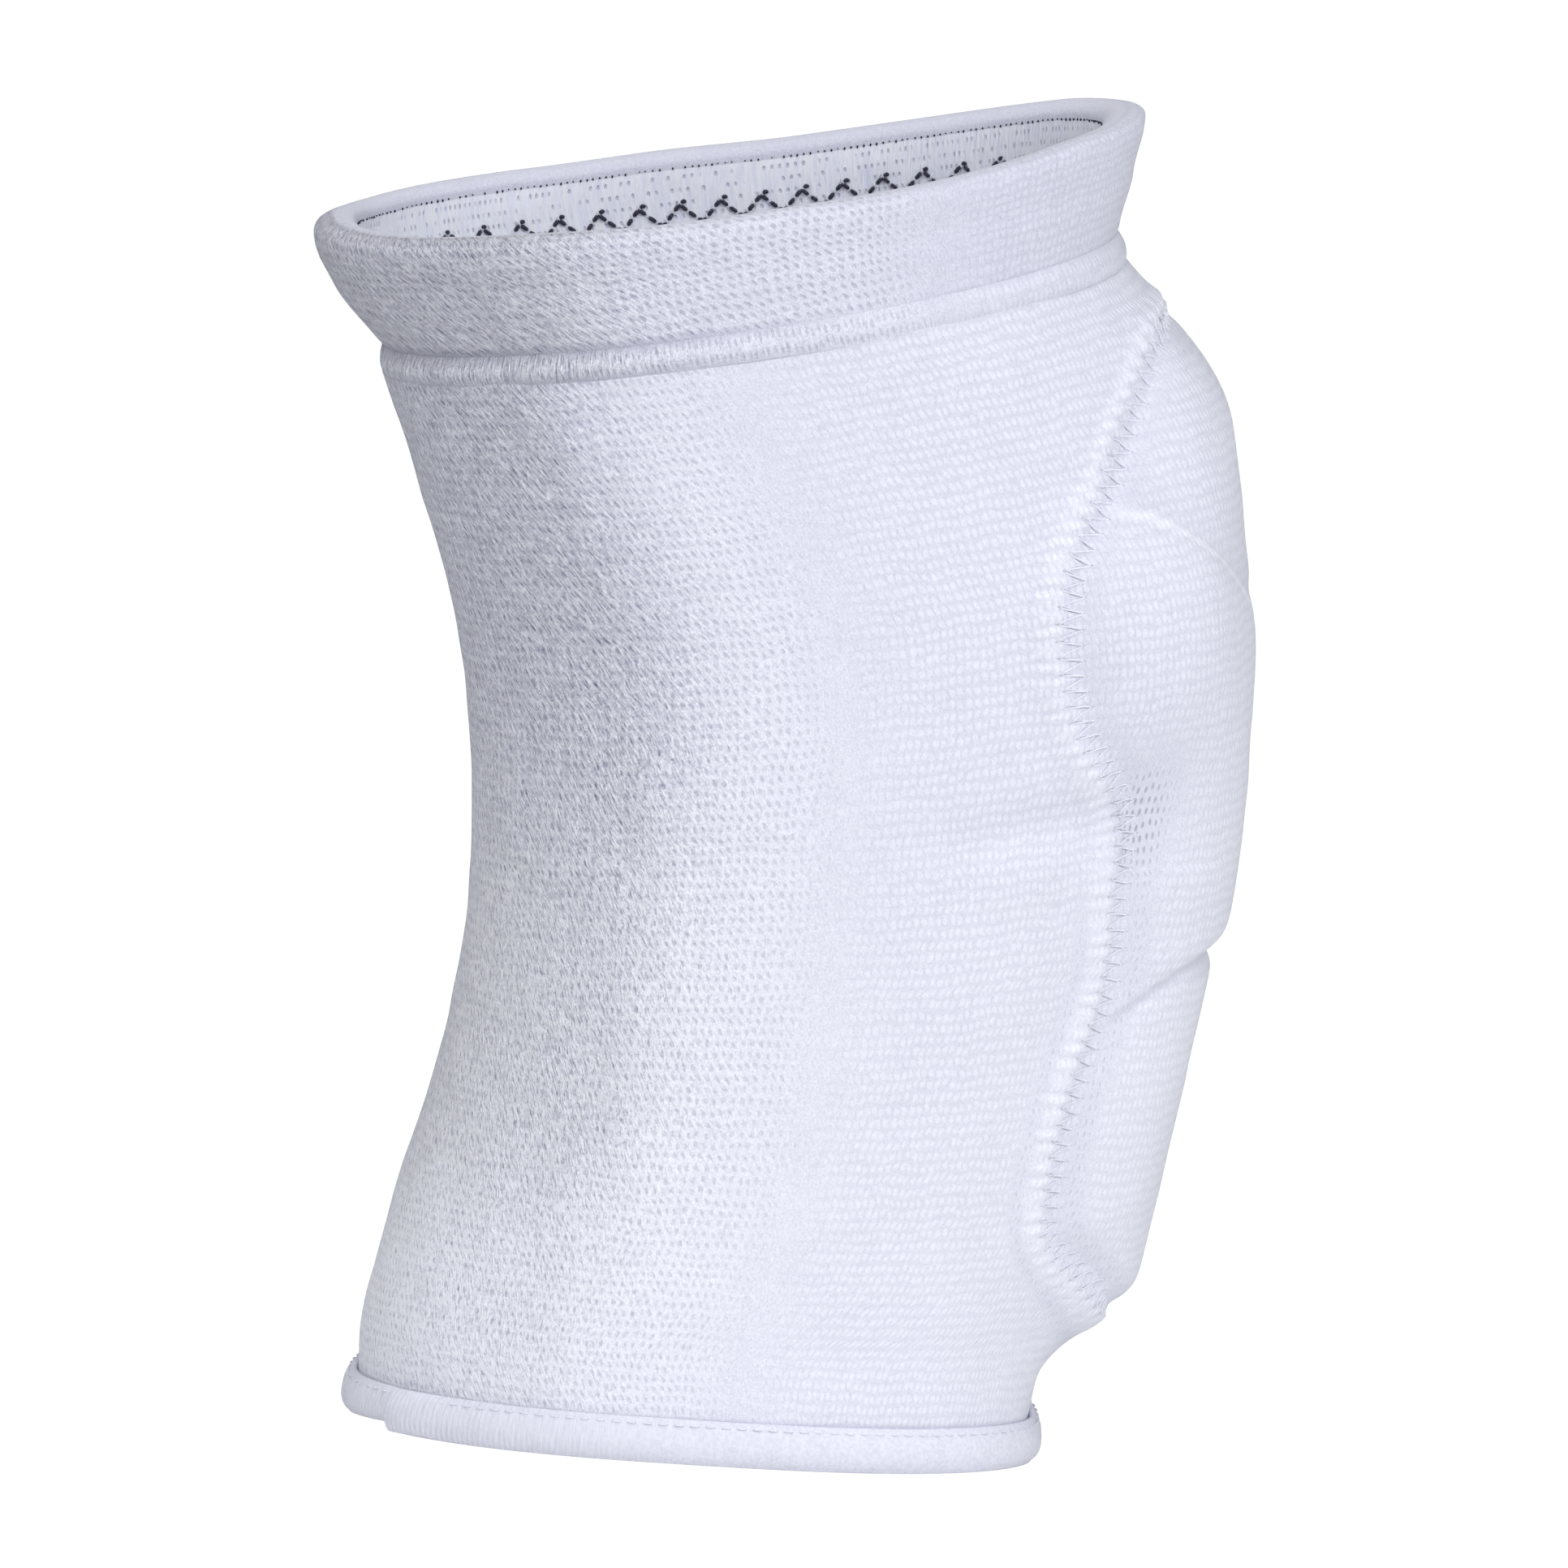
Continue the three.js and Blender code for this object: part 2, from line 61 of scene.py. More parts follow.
# Sizes of the object. Most are the solids' own, and a few are eased from them to follow the photo
KNIT_WALL = 2
SEAM_GAP = 0.3
PAD_GAP = 0.4
HEM_DEPTH, HEM_WIDTH = 111.6, 73
TOP_DEPTH, TOP_WIDTH = 122.9, 83
TOP_SET_BACK = 2.8
SIDE_DIP, RIM_DIP, DIP_FROM = 2.2, 1.3, 0.6
BACK_LENGTH, FRONT_LENGTH = 174, 201
HOLLOW_DEPTH, KNEE_REACH, KNEE_SWELL = 16.8, 12.8, 9
OVAL_POWER = 2.35
MID_HEIGHT = 0.5
WELT_HEIGHT, WELT_SWELL = 5.1, 1.1
CUFF_HEIGHT, CUFF_LAYER, CUFF_SWELL = 23, 1.6, 1.1
CUFF_TUCK, CUFF_NIP = 6, 2.2
CUFF_FLARE_END, CUFF_SLACK_END = 0.82, 0.9
CUFF_FOLD = CUFF_HEIGHT * 0.9
RIM_DEPTH, RIM_WIDTH, RIM_SET_BACK = 130.2, 80, 8.9
BINDING_HEIGHT, BINDING_OUT, BINDING_IN = 7.8, 2.7, 1.9
BINDING_GRIP, BINDING_FOOT = 3.8, 1
LAP_ANGLE, LAP_TURN, LAP_LIFT, LAP_STEP = 210, 34, 1.6, 1.4
PANEL_ANGLE = 48
SHIN_PAD, KNEE_PAD, THIGH_PAD = 13.1, 15, 13.7
PAD_EDGE, PAD_EDGE_AT_FOOT, PAD_ROUNDNESS = 19, 5, 1.8
FOOT_UP, FOOT_END = 0.11, 0.22
SEAM_LEDGE, SEAM_VALLEY, SEAM_LIFT = 1.2, 0.7, 3
HEAD_LIFT, FOOT_LIFT, LIFT_ANGLE, LIFT_FROM = 6, 9.4, 34, 12
ROLL_WIDTH, ROLL_WIDTH_AT_FOOT = 7, 12
TENT_ANGLE, TOP_EASING = 26, 0.25
CREASE_WIDTH, CREASE_GAP = 2.6, 1.1
LOWER_CREASE_DEPTH, UPPER_CREASE_DEPTH, UPPER_CREASE_AT_SIDE = 2, 0.4, 1.5
CREASE_MIDDLE, CREASE_SIDE = 10, 29
PINCH_DEPTH, PINCH_HEIGHT, PINCH_WIDTH, PINCH_UP = 1.6, 5, 14, 0.552

SLEEVE_FORM = {
    "up": [0, 0.05, 0.1, 0.2, 0.3, 0.4, 0.5, 0.6, 0.7, 0.8, 0.9, 1],
    "hollow": [0, 0.02, 0.12, 0.385, 0.69, 0.915, 1.025, 1.03, 0.945, 0.73, 0.4, 0.03],
    "reach": [0, 0.1, 0.22, 0.45, 0.68, 0.88, 0.99, 1, 0.9, 0.68, 0.31, -0.08],
    "swell": [0, 0.14, 0.28, 0.55, 0.76, 0.92, 1, 1, 0.9, 0.68, 0.36, 0],
}
GUIDES = {
    "across": [0, 0.2, 0.4, 0.52, 0.65, 0.8, 1, 1.6, 3.75],
    "foot": [0.095, 0.102, 0.127, 0.148, 0.174, 0.188, 0.193, 0.185, 0.16],
    "lower": [0.417, 0.415, 0.409, 0.397, 0.373, 0.355, 0.347, 0.345, 0.34],
    "upper": [0.714, 0.724, 0.754, 0.781, 0.811, 0.828, 0.835, 0.8, 0.7],
    "head": [0.955, 0.951, 0.932, 0.906, 0.873, 0.852, 0.857, 0.88, 0.87],
}
SEAM_LINE = {
    "up": [0.095, 0.105, 0.127, 0.148, 0.167, 0.19, 0.235, 0.28, 0.325, 0.37, 0.405, 0.44, 0.49, 0.53,
           0.565, 0.603, 0.64, 0.69, 0.735, 0.775, 0.806, 0.83, 0.858, 0.882, 0.912, 0.936, 0.951, 0.955],
    "across": [0, 0.24, 0.4, 0.52, 0.62, 0.69, 0.73, 0.745, 0.735, 0.7, 0.68, 0.69, 0.715, 0.71,
               0.745, 0.86, 0.95, 1, 1, 0.96, 0.88, 0.79, 0.7, 0.62, 0.5, 0.38, 0.2, 0],
}

# How far the middle of the hem's sides is drawn up, and the form of that arch
HEM_ARCH = 3.5
ARCH_EASING, ARCH_POWER = 0.06, 0.7

# Angles all round, by which lengths round the object are measured
FULL_TURN = np.linspace(0, 360, 1441)

# Stitches of the knit all round and from hem to top, and the same for the cuff's
WALES, COURSES = 274, 93
CUFF_WALES, CUFF_COURSE = 254, 1.95
WELT_RIBS = 218

# Colours of the knit, and of the shade in its seams and folds
KNIT_BRIGHT, KNIT_DARK = (0.81, 0.826, 0.925), (0.478, 0.488, 0.61)
CUFF_BRIGHT, SEAM_SHADE = (0.775, 0.788, 0.895), (0.5, 0.51, 0.63)

# Where the hem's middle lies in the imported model, in metres
hem_low, hem_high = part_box("hem_binding")
HEM_MIDDLE = (hem_low.x + hem_high.x) / 2


def smoothstep(value, low, high):
    t = np.clip((value - low) / (high - low), 0, 1)
    return t * t * (3 - 2 * t)


def lerp(start, end, share):
    return start + (end - start) * share


def bell(distance):
    return np.exp(-np.square(distance))


def along(table, key, at, column):
    """Smooth curve through a table's column."""
    keys, values = np.array(table[key], float), np.array(table[column], float)
    last = len(keys) - 1
    before = np.maximum(np.arange(last + 1) - 1, 0)
    after = np.minimum(np.arange(last + 1) + 1, last)
    slopes = (values[after] - values[before]) / (keys[after] - keys[before])
    place = np.clip(at, keys[0], keys[-1])
    row = np.clip(np.searchsorted(keys, place, side="left") - 1, 0, last - 1)
    width = keys[row + 1] - keys[row]
    t = (place - keys[row]) / width
    start = values[row] * (1 + 2 * t) * (1 - t) ** 2 + slopes[row] * width * t * (1 - t) ** 2
    end = values[row + 1] * t * t * (3 - 2 * t) - slopes[row + 1] * width * t * t * (1 - t)
    return start + end


def run_along(points):
    """How far along a path each of its points lies."""
    return np.concatenate([[0], np.cumsum(np.linalg.norm(np.diff(points, axis=0), axis=1))])


# A section of the leg side is its back point, front point, half width and the dip at its sides


def sleeve_section(up):
    hollow = HOLLOW_DEPTH * along(SLEEVE_FORM, "up", up, "hollow")
    reach = KNEE_REACH * along(SLEEVE_FORM, "up", up, "reach")
    swell = KNEE_SWELL * along(SLEEVE_FORM, "up", up, "swell")
    depth = lerp(HEM_DEPTH, TOP_DEPTH, up)
    width = lerp(HEM_WIDTH, TOP_WIDTH, up) + swell
    return (hollow - depth / 2 - TOP_SET_BACK * up, BINDING_HEIGHT + BACK_LENGTH * up,
            reach + depth / 2 - TOP_SET_BACK * up, BINDING_HEIGHT + FRONT_LENGTH * up,
            width / 2, SIDE_DIP * smoothstep(up, DIP_FROM, 1), HEM_ARCH * (1 - smoothstep(up, 0, 0.24)))


def cuff_section(height):
    """At a height over the welt's bottom."""
    back_x, back_z, front_x, front_z, half, _, _ = sleeve_section(np.float64(1))
    nip = CUFF_NIP * np.minimum(1, height / WELT_HEIGHT)
    slack = smoothstep(height, WELT_HEIGHT, WELT_HEIGHT + CUFF_HEIGHT * CUFF_SLACK_END)
    opened = np.maximum(0, height - WELT_HEIGHT) / (CUFF_HEIGHT * CUFF_FLARE_END)
    flare = np.sin(np.minimum(1, opened) * np.pi / 2)
    return (lerp(back_x, -RIM_DEPTH / 2 - RIM_SET_BACK, flare), back_z + height,
            lerp(front_x - nip, RIM_DEPTH / 2 - RIM_SET_BACK, slack), front_z + height,
            lerp(half, RIM_WIDTH / 2, flare), SIDE_DIP + RIM_DIP * flare, 0)


def binding_section(z):
    back_x, _, front_x, _, half, _, arch = sleeve_section(np.float64(0))
    return back_x, z, front_x, z, half, 0, arch


def point_on(section, angle, lift):
    """Points lifted off the leg side of a section."""
    back_x, back_z, front_x, front_z, half, dip, arch = section
    c, s = np.cos(np.radians(angle)), np.sin(np.radians(angle))
    size = (np.abs(c) ** OVAL_POWER + np.abs(s) ** OVAL_POWER) ** (1 / OVAL_POWER)
    reach_x, reach_z = (front_x - back_x) / 2, (front_z - back_z) / 2
    length = np.hypot(reach_x, reach_z)
    out_c = np.sign(c) * np.abs(c) ** (OVAL_POWER - 1) / length
    out_x, out_z = reach_x / length * out_c, reach_z / length * out_c
    out_y = np.sign(s) * np.abs(s) ** (OVAL_POWER - 1) / half
    scale = lift / np.sqrt(out_x ** 2 + out_y ** 2 + out_z ** 2)
    x = (back_x + front_x) / 2 + reach_x * c / size + out_x * scale
    y = half * s / size + out_y * scale
    z = (back_z + front_z) / 2 + reach_z * c / size - dip * s * s + out_z * scale
    risen = (np.sqrt(s * s + ARCH_EASING ** 2) - ARCH_EASING) ** ARCH_POWER
    z = z + arch * risen * (0.82 + 0.18 * c)
    return np.stack(np.broadcast_arrays(x, y, z), axis=-1)


# Millimetres round the leg for each degree, on the panel
PANEL_ARC = np.radians((HEM_WIDTH + TOP_WIDTH + KNEE_PAD) / 4 + KNEE_SWELL / 2)


def seam_points(count=260):
    """The seam round the panel on one side, in millimetres round and up, evenly spaced."""
    rows = np.column_stack([np.array(SEAM_LINE["across"]) * PANEL_ANGLE * PANEL_ARC,
                            np.array(SEAM_LINE["up"]) * FRONT_LENGTH])
    dense = []
    for i in range(len(rows) - 1):
        before, start, end, after = rows[max(i - 1, 0)], rows[i], rows[i + 1], rows[min(i + 2, len(rows) - 1)]
        for t in np.arange(0, 1, 0.05):
            leave, arrive = (end - before) / 2, (after - start) / 2
            dense.append((2 * start - 2 * end + leave + arrive) * t ** 3
                         + (3 * end - 3 * start - 2 * leave - arrive) * t ** 2 + leave * t + start)
    dense = np.array(dense + [rows[-1]])
    run = np.concatenate([[0], np.cumsum(np.hypot(*np.diff(dense, axis=0).T))])
    even = np.linspace(0, run[-1], count)
    return np.column_stack([np.interp(even, run, dense[:, k]) for k in range(2)]), run[-1]


SEAM, SEAM_RUN = seam_points()


def seam_place(angle, up):
    """Millimetres inside the seam, below 0 outside it, and how far along the seam that is."""
    angle, up = np.broadcast_arrays(np.asarray(angle, float), np.asarray(up, float))
    px, py = np.abs(angle).ravel() * PANEL_ARC, up.ravel() * FRONT_LENGTH
    nearest = np.full(px.shape, np.inf)
    run = np.zeros(px.shape)
    crossings = np.zeros(px.shape, int)
    step_run = SEAM_RUN / (len(SEAM) - 1)
    for i in range(len(SEAM) - 1):
        start, step = SEAM[i], SEAM[i + 1] - SEAM[i]
        t = np.clip(((px - start[0]) * step[0] + (py - start[1]) * step[1]) / (step @ step), 0, 1)
        away = np.hypot(px - start[0] - step[0] * t, py - start[1] - step[1] * t)
        closer = away < nearest
        nearest = np.where(closer, away, nearest)
        run = np.where(closer, (i + t) * step_run, run)
        if step[1] != 0:
            spans = (start[1] > py) != (start[1] + step[1] > py)
            crossings += spans & (start[0] + step[0] * (py - start[1]) / step[1] > px)
    inside = np.where(crossings % 2 == 1, nearest, -nearest)
    return inside.reshape(angle.shape), run.reshape(angle.shape)


def guide(angle, name):
    return along(GUIDES, "across", np.abs(angle) / PANEL_ANGLE, name)


def creases(angle, up):
    side = smoothstep(np.abs(angle), CREASE_MIDDLE, CREASE_SIDE)
    upper = lerp(UPPER_CREASE_DEPTH, UPPER_CREASE_AT_SIDE, side)
    low = (up - guide(angle, "lower")) * FRONT_LENGTH / CREASE_WIDTH
    high = (up - guide(angle, "upper")) * FRONT_LENGTH / CREASE_WIDTH
    return LOWER_CREASE_DEPTH * bell(low) + 0.4 * bell(low * 2) + upper * bell(high)


def pad_thickness(angle, up):
    ease = CREASE_WIDTH / FRONT_LENGTH
    lower, upper = guide(angle, "lower"), guide(angle, "upper")
    knee = smoothstep(up, lower - ease, lower + ease)
    thigh = smoothstep(up, upper - 4 * ease, upper + 4 * ease)
    return SHIN_PAD + (KNEE_PAD - SHIN_PAD) * knee + (THIGH_PAD - KNEE_PAD) * thigh


def pinch(angle, up):
    wide = (np.abs(angle) - PANEL_ANGLE) * PANEL_ARC / PINCH_WIDTH
    high = (up - PINCH_UP) * FRONT_LENGTH / PINCH_HEIGHT
    return PINCH_DEPTH * bell(wide) * bell(high)


# Seam of the panel: pitch of its zigzag and half its width
ZIGZAG_PITCH = 2.9
ZIGZAG_HALF = 1.6


def relief(angle, up):
    """How far the knit's inner face stands off the leg, with the seam's puckers."""
    inside, run = seam_place(angle, up)
    angle = np.abs(angle)
    end = np.where(up > MID_HEIGHT, HEAD_LIFT, FOOT_LIFT)
    seam = lerp(end, SEAM_LIFT, smoothstep(angle, LIFT_FROM, LIFT_ANGLE))
    foot = 1 - smoothstep(up, FOOT_UP, FOOT_END)
    wave = np.cos(2 * np.pi * run / ZIGZAG_PITCH)
    stitched = seam - SEAM_VALLEY * bell(inside / SEAM_LEDGE)
    edge = lerp(PAD_EDGE, PAD_EDGE_AT_FOOT, foot)
    crown = 1 - (1 - np.clip((inside - SEAM_LEDGE) / edge, 0, 1)) ** PAD_ROUNDNESS
    padded = stitched + (pad_thickness(angle, up) - creases(angle, up) - seam) * crown
    width = lerp(ROLL_WIDTH, ROLL_WIDTH_AT_FOOT, foot)
    roll = np.clip(1 + (inside + SEAM_LEDGE) / width, 0, 1) ** 2
    head = guide(angle, "head")
    tent = np.where(up > head, np.maximum(0, (1 - up) / (1 - head)), 0)
    tented = tent * (1 - smoothstep(angle, TENT_ANGLE, PANEL_ANGLE))
    loose = stitched * np.maximum(roll * np.minimum(1, (1 - up) / TOP_EASING), tented) - pinch(angle, up)
    lift = np.where(inside > SEAM_LEDGE, padded, np.where(inside > -SEAM_LEDGE, stitched, loose))
    puffs = 0.8 * bell((inside + 2.9) / 1.5) * (0.62 + 0.38 * wave)
    dimples = 0.34 * bell((inside - ZIGZAG_HALF) / 0.7) * (0.5 + 0.5 * wave)
    dimples += 0.3 * bell((inside + ZIGZAG_HALF * 0.8) / 0.6) * (0.5 - 0.5 * wave)
    return lift + puffs - dimples


def value_noise(angle, around, y, seed):
    """Smooth noise from -1 to 1, with so many cells all round, at most 64, and by cells of 1 in y."""
    grid = np.random.default_rng(seed).uniform(-1, 1, (64, 64))
    x = np.mod(angle, 360) / 360 * around
    ix, iy = np.floor(x).astype(int), np.floor(y).astype(int)
    fx, fy = x - ix, y - iy
    fx, fy = fx * fx * (3 - 2 * fx), fy * fy * (3 - 2 * fy)
    corner = lambda dx, dy: grid[(ix + dx) % around, (iy + dy) % 64]
    low = corner(0, 0) * (1 - fx) + corner(1, 0) * fx
    high = corner(0, 1) * (1 - fx) + corner(1, 1) * fx
    return low * (1 - fy) + high * fy


# Faint lines in the knit behind the knee, as heights and the angle there
BACK_LINE = {
    "up": [0.2, 0.241, 0.365, 0.511, 0.625, 0.702, 0.855, 0.9],
    "angle": [82, 83, 86, 88, 89.6, 93.4, 98.6, 101],
}


def softness(angle, up):
    """Slight unevenness of the cloth, a fold at the waist and the faint lines behind the knee."""
    side = np.abs(angle)
    uneven = 0.16 * value_noise(angle, 33, up * 15, 1)
    uneven += 0.1 * value_noise(angle, 64, up * 34, 2)
    fold = 0.3 * bell((up - 0.55) * FRONT_LENGTH / 3.4) * smoothstep(side, 36, 44)
    fold = fold * (1 - smoothstep(side, 58, 84))
    line = along(BACK_LINE, "up", up, "angle")
    within = smoothstep(up, 0.2, 0.24) * (1 - smoothstep(up, 0.83, 0.88))
    upright = 0.16 * bell((side - line) * 1.05 / 0.7) * within
    behind = smoothstep(side, line - 1, line + 1)
    ends = bell((up - 0.235) * FRONT_LENGTH / 0.7) + bell((up - 0.855) * FRONT_LENGTH / 0.7)
    level = 0.09 * (1 - smoothstep(side, 140, 165)) * ends * behind
    return uneven - fold - upright - level


def knit_surface(angle, up, lift=0.0):
    """Points over the outer side of the sleeve's knit."""
    off = relief(angle, up) + softness(angle, up) + KNIT_WALL + lift
    return point_on(sleeve_section(np.asarray(up, float)), angle, off)


def signed(angle):
    return np.where(angle > 180, angle - 360, angle)


def sleeve_density(angle):
    """How close the wales lie: closest over the pads."""
    side = np.abs(signed(angle))
    front = lerp(1.48, 1.2, smoothstep(side, 25, 62))
    return lerp(front, 1, smoothstep(side, 76, 88)) + 0.08 * smoothstep(side, 95, 112)


def cuff_density(angle):
    side = np.abs(signed(angle))
    return lerp(1.45, 1, smoothstep(side, 55, 80)) + 0.3 * smoothstep(side, 105, 130)


def wale_at(angle, count, density=None):
    """The number of a wale at an angle from 0 to 360, counted from the front's middle."""
    turn = FULL_TURN
    points = point_on(sleeve_section(np.float64(0.5)), turn, 0.0)
    steps = np.linalg.norm(np.diff(points, axis=0), axis=1)
    if density:
        steps = steps * density((turn[1:] + turn[:-1]) / 2)
    run = np.concatenate([[0], np.cumsum(steps)])
    return np.interp(angle, turn, run) * count / run[-1]


# Meshes


def finish_mesh(name, vertices, faces, materials, uvs=None, slots=None, **attributes):
    mesh = bpy.data.meshes.new(name)
    places = np.asarray(vertices, float) / 1000
    places[:, 0] += HEM_MIDDLE
    mesh.from_pydata(places.tolist(), [], faces)
    for material in materials:
        mesh.materials.append(material)
    if slots is not None:
        mesh.polygons.foreach_set("material_index", np.asarray(slots, np.int32).ravel())
    if uvs is not None:
        mesh.uv_layers.new(name="stitches").data.foreach_set("uv", np.asarray(uvs, np.float32).ravel())
    for label, values in attributes.items():
        stored = mesh.attributes.new(label, "FLOAT", "POINT")
        stored.data.foreach_set("value", np.asarray(values, np.float32).ravel())
    mesh.polygons.foreach_set("use_smooth", [True] * len(mesh.polygons))
    mesh.update()
    piece = bpy.data.objects.new(name, mesh)
    bpy.context.scene.collection.objects.link(piece)
    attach(piece, "root")
    return piece


def ring(name, outlines, across, up, materials, slots=None, **attributes):
    """A closed ring through outlines [column, place, xyz]. across has a value for each column and one more,
    and up one for each place and one more: together they are its UV map."""
    columns, places = outlines.shape[:2]
    i, j = np.meshgrid(np.arange(columns), np.arange(places), indexing="ij")
    i, j = i.ravel(), j.ravel()
    right, above = (i + 1) % columns, (j + 1) % places
    faces = np.column_stack([i * places + j, right * places + j, right * places + above, i * places + above])
    across, up = np.asarray(across), np.asarray(up)
    if across.ndim == 1:
        across = np.repeat(across[:, None], places, 1)
    across = np.concatenate([across, across[:, :1]], axis=1)
    corners = [(i, j), (i + 1, j), (i + 1, j + 1), (i, j + 1)]
    uvs = np.stack([np.column_stack([across[a, b], up[b]]) for a, b in corners], axis=1)
    indices = None if slots is None else np.asarray(slots)[j]
    return finish_mesh(name, outlines.reshape(-1, 3), faces.tolist(), materials, uvs, indices, **attributes)


def thread_tubes(name, paths, radius, material, sides=6):
    """Threads along paths, round and closed with tapered ends."""
    vertices, faces, uvs = [], [], []
    turn = np.linspace(0, 2 * np.pi, sides, endpoint=False)
    first = 0
    for path in paths:
        path = np.asarray(path, float)
        run = run_along(path)
        tangents = np.gradient(path, axis=0)
        tangents /= np.linalg.norm(tangents, axis=1)[:, None]
        side = np.cross(tangents[0], (0, 0, 1))
        if np.linalg.norm(side) < 0.1:
            side = np.cross(tangents[0], (1, 0, 0))
        sides_along = []
        for tangent in tangents:
            side = side - tangent * (side @ tangent)
            side /= np.linalg.norm(side)
            sides_along.append(side)
        sides_along = np.array(sides_along)
        other = np.cross(tangents, sides_along)
        ends = np.minimum(run, run[-1] - run) / radius
        widths = radius * np.sqrt(np.clip(1 - (1 - np.minimum(ends, 1)) ** 2, 0.12, 1))
        outward = (np.cos(turn)[None, :, None] * sides_along[:, None]
                   + np.sin(turn)[None, :, None] * other[:, None])
        rings = path[:, None] + widths[:, None, None] * outward
        vertices.append(rings.reshape(-1, 3))
        count = len(path)
        for i in range(count - 1):
            for j in range(sides):
                k = (j + 1) % sides
                faces.append([first + i * sides + j, first + i * sides + k,
                              first + (i + 1) * sides + k, first + (i + 1) * sides + j])
                uvs.append([(run[i], j / sides), (run[i], (j + 1) / sides),
                            (run[i + 1], (j + 1) / sides), (run[i + 1], j / sides)])
        for end, order in ((0, 1), (count - 1, -1)):
            vertices.append(path[end][None])
            tip = first + count * sides + (0 if end == 0 else 1)
            for j in range(sides):
                k = (j + 1) % sides
                a, b = first + end * sides + j, first + end * sides + k
                faces.append([tip, b, a] if order == 1 else [tip, a, b])
                uvs.append([(run[end], 0)] * 3)
        first += count * sides + 2
    flat = [corner for face in uvs for corner in face]
    return finish_mesh(name, np.concatenate(vertices), faces, [material], flat)


# Materials


class Value:
    """A number from a material's nodes. A sum with it adds a node."""

    def __init__(self, cloth, socket):
        self.cloth, self.socket = cloth, socket

    def __add__(self, other):
        return self.cloth.math("ADD", self, other)

    def __sub__(self, other):
        return self.cloth.math("SUBTRACT", self, other)

    def __rsub__(self, other):
        return self.cloth.math("SUBTRACT", other, self)

    def __mul__(self, other):
        return self.cloth.math("MULTIPLY", self, other)

    def __truediv__(self, other):
        return self.cloth.math("DIVIDE", self, other)

    def __pow__(self, other):
        return self.cloth.math("POWER", self, other)

    def __abs__(self):
        return self.cloth.math("ABSOLUTE", self)


class Cloth:
    """A material's nodes, with short ways to add to them."""

    def __init__(self, name, colour, roughness=0.85, sheen=0.25):
        self.material = bpy.data.materials.new(name)
        self.material.use_nodes = True
        self.material.diffuse_color = (*colour, 1)
        self.nodes, self.links = self.material.node_tree.nodes, self.material.node_tree.links
        self.shader = self.nodes["Principled BSDF"]
        self.shader.inputs["Roughness"].default_value = roughness
        self.shader.inputs["Specular IOR Level"].default_value = 0.25
        self.shader.inputs["Sheen Weight"].default_value = sheen
        self.shader.inputs["Sheen Roughness"].default_value = 0.6

    def put(self, value, socket):
        if isinstance(value, Value):
            self.links.new(value.socket, socket)
        else:
            socket.default_value = value

    def math(self, operation, *values, clamp=False):
        node = self.nodes.new("ShaderNodeMath")
        node.operation, node.use_clamp = operation, clamp
        for value, socket in zip(values, node.inputs):
            self.put(value, socket)
        return Value(self, node.outputs[0])

    def smooth(self, value, low, high, to_low=0.0, to_high=1.0):
        node = self.nodes.new("ShaderNodeMapRange")
        node.interpolation_type = "SMOOTHSTEP"
        for label, number in (("From Min", low), ("From Max", high), ("To Min", to_low), ("To Max", to_high)):
            self.put(number, node.inputs[label])
        self.put(value, node.inputs["Value"])
        return Value(self, node.outputs["Result"])

    def vector(self, *parts):
        node = self.nodes.new("ShaderNodeCombineXYZ")
        for part, socket in zip(parts, node.inputs):
            self.put(part, socket)
        return Value(self, node.outputs[0])

    def noise(self, vector, scale, detail=2.0, roughness=0.5):
        node = self.nodes.new("ShaderNodeTexNoise")
        self.put(vector, node.inputs["Vector"])
        node.inputs["Scale"].default_value = scale
        node.inputs["Detail"].default_value = detail
        node.inputs["Roughness"].default_value = roughness
        return Value(self, node.outputs["Fac"])

    def chance(self, vector):
        node = self.nodes.new("ShaderNodeTexWhiteNoise")
        self.put(vector, node.inputs["Vector"])
        return Value(self, node.outputs["Value"])

    def map(self, label):
        node = self.nodes.new("ShaderNodeUVMap")
        node.uv_map = label
        parts = self.nodes.new("ShaderNodeSeparateXYZ")
        self.links.new(node.outputs[0], parts.inputs[0])
        return Value(self, parts.outputs[0]), Value(self, parts.outputs[1])

    def place(self):
        return Value(self, self.nodes.new("ShaderNodeTexCoord").outputs["Object"])

    def attribute(self, label):
        node = self.nodes.new("ShaderNodeAttribute")
        node.attribute_name = label
        return Value(self, node.outputs["Fac"])

    def mix(self, share, start, end, beyond=False):
        """A colour between two, or beyond the first where the share is below 0."""
        node = self.nodes.new("ShaderNodeMix")
        node.data_type = "RGBA"
        node.clamp_factor, node.clamp_result = not beyond, beyond
        self.put(share, node.inputs["Factor"])
        for value, socket in ((start, node.inputs["A"]), (end, node.inputs["B"])):
            self.put((*value, 1) if isinstance(value, tuple) else value, socket)
        return Value(self, next(out for out in node.outputs if out.type == "RGBA"))

    def colour(self, value):
        self.put(value, self.shader.inputs["Base Color"])

    def bump(self, height, distance, strength=1.0):
        node = self.nodes.new("ShaderNodeBump")
        node.inputs["Strength"].default_value = strength
        node.inputs["Distance"].default_value = distance
        self.put(height, node.inputs["Height"])
        self.links.new(node.outputs[0], self.shader.inputs["Normal"])


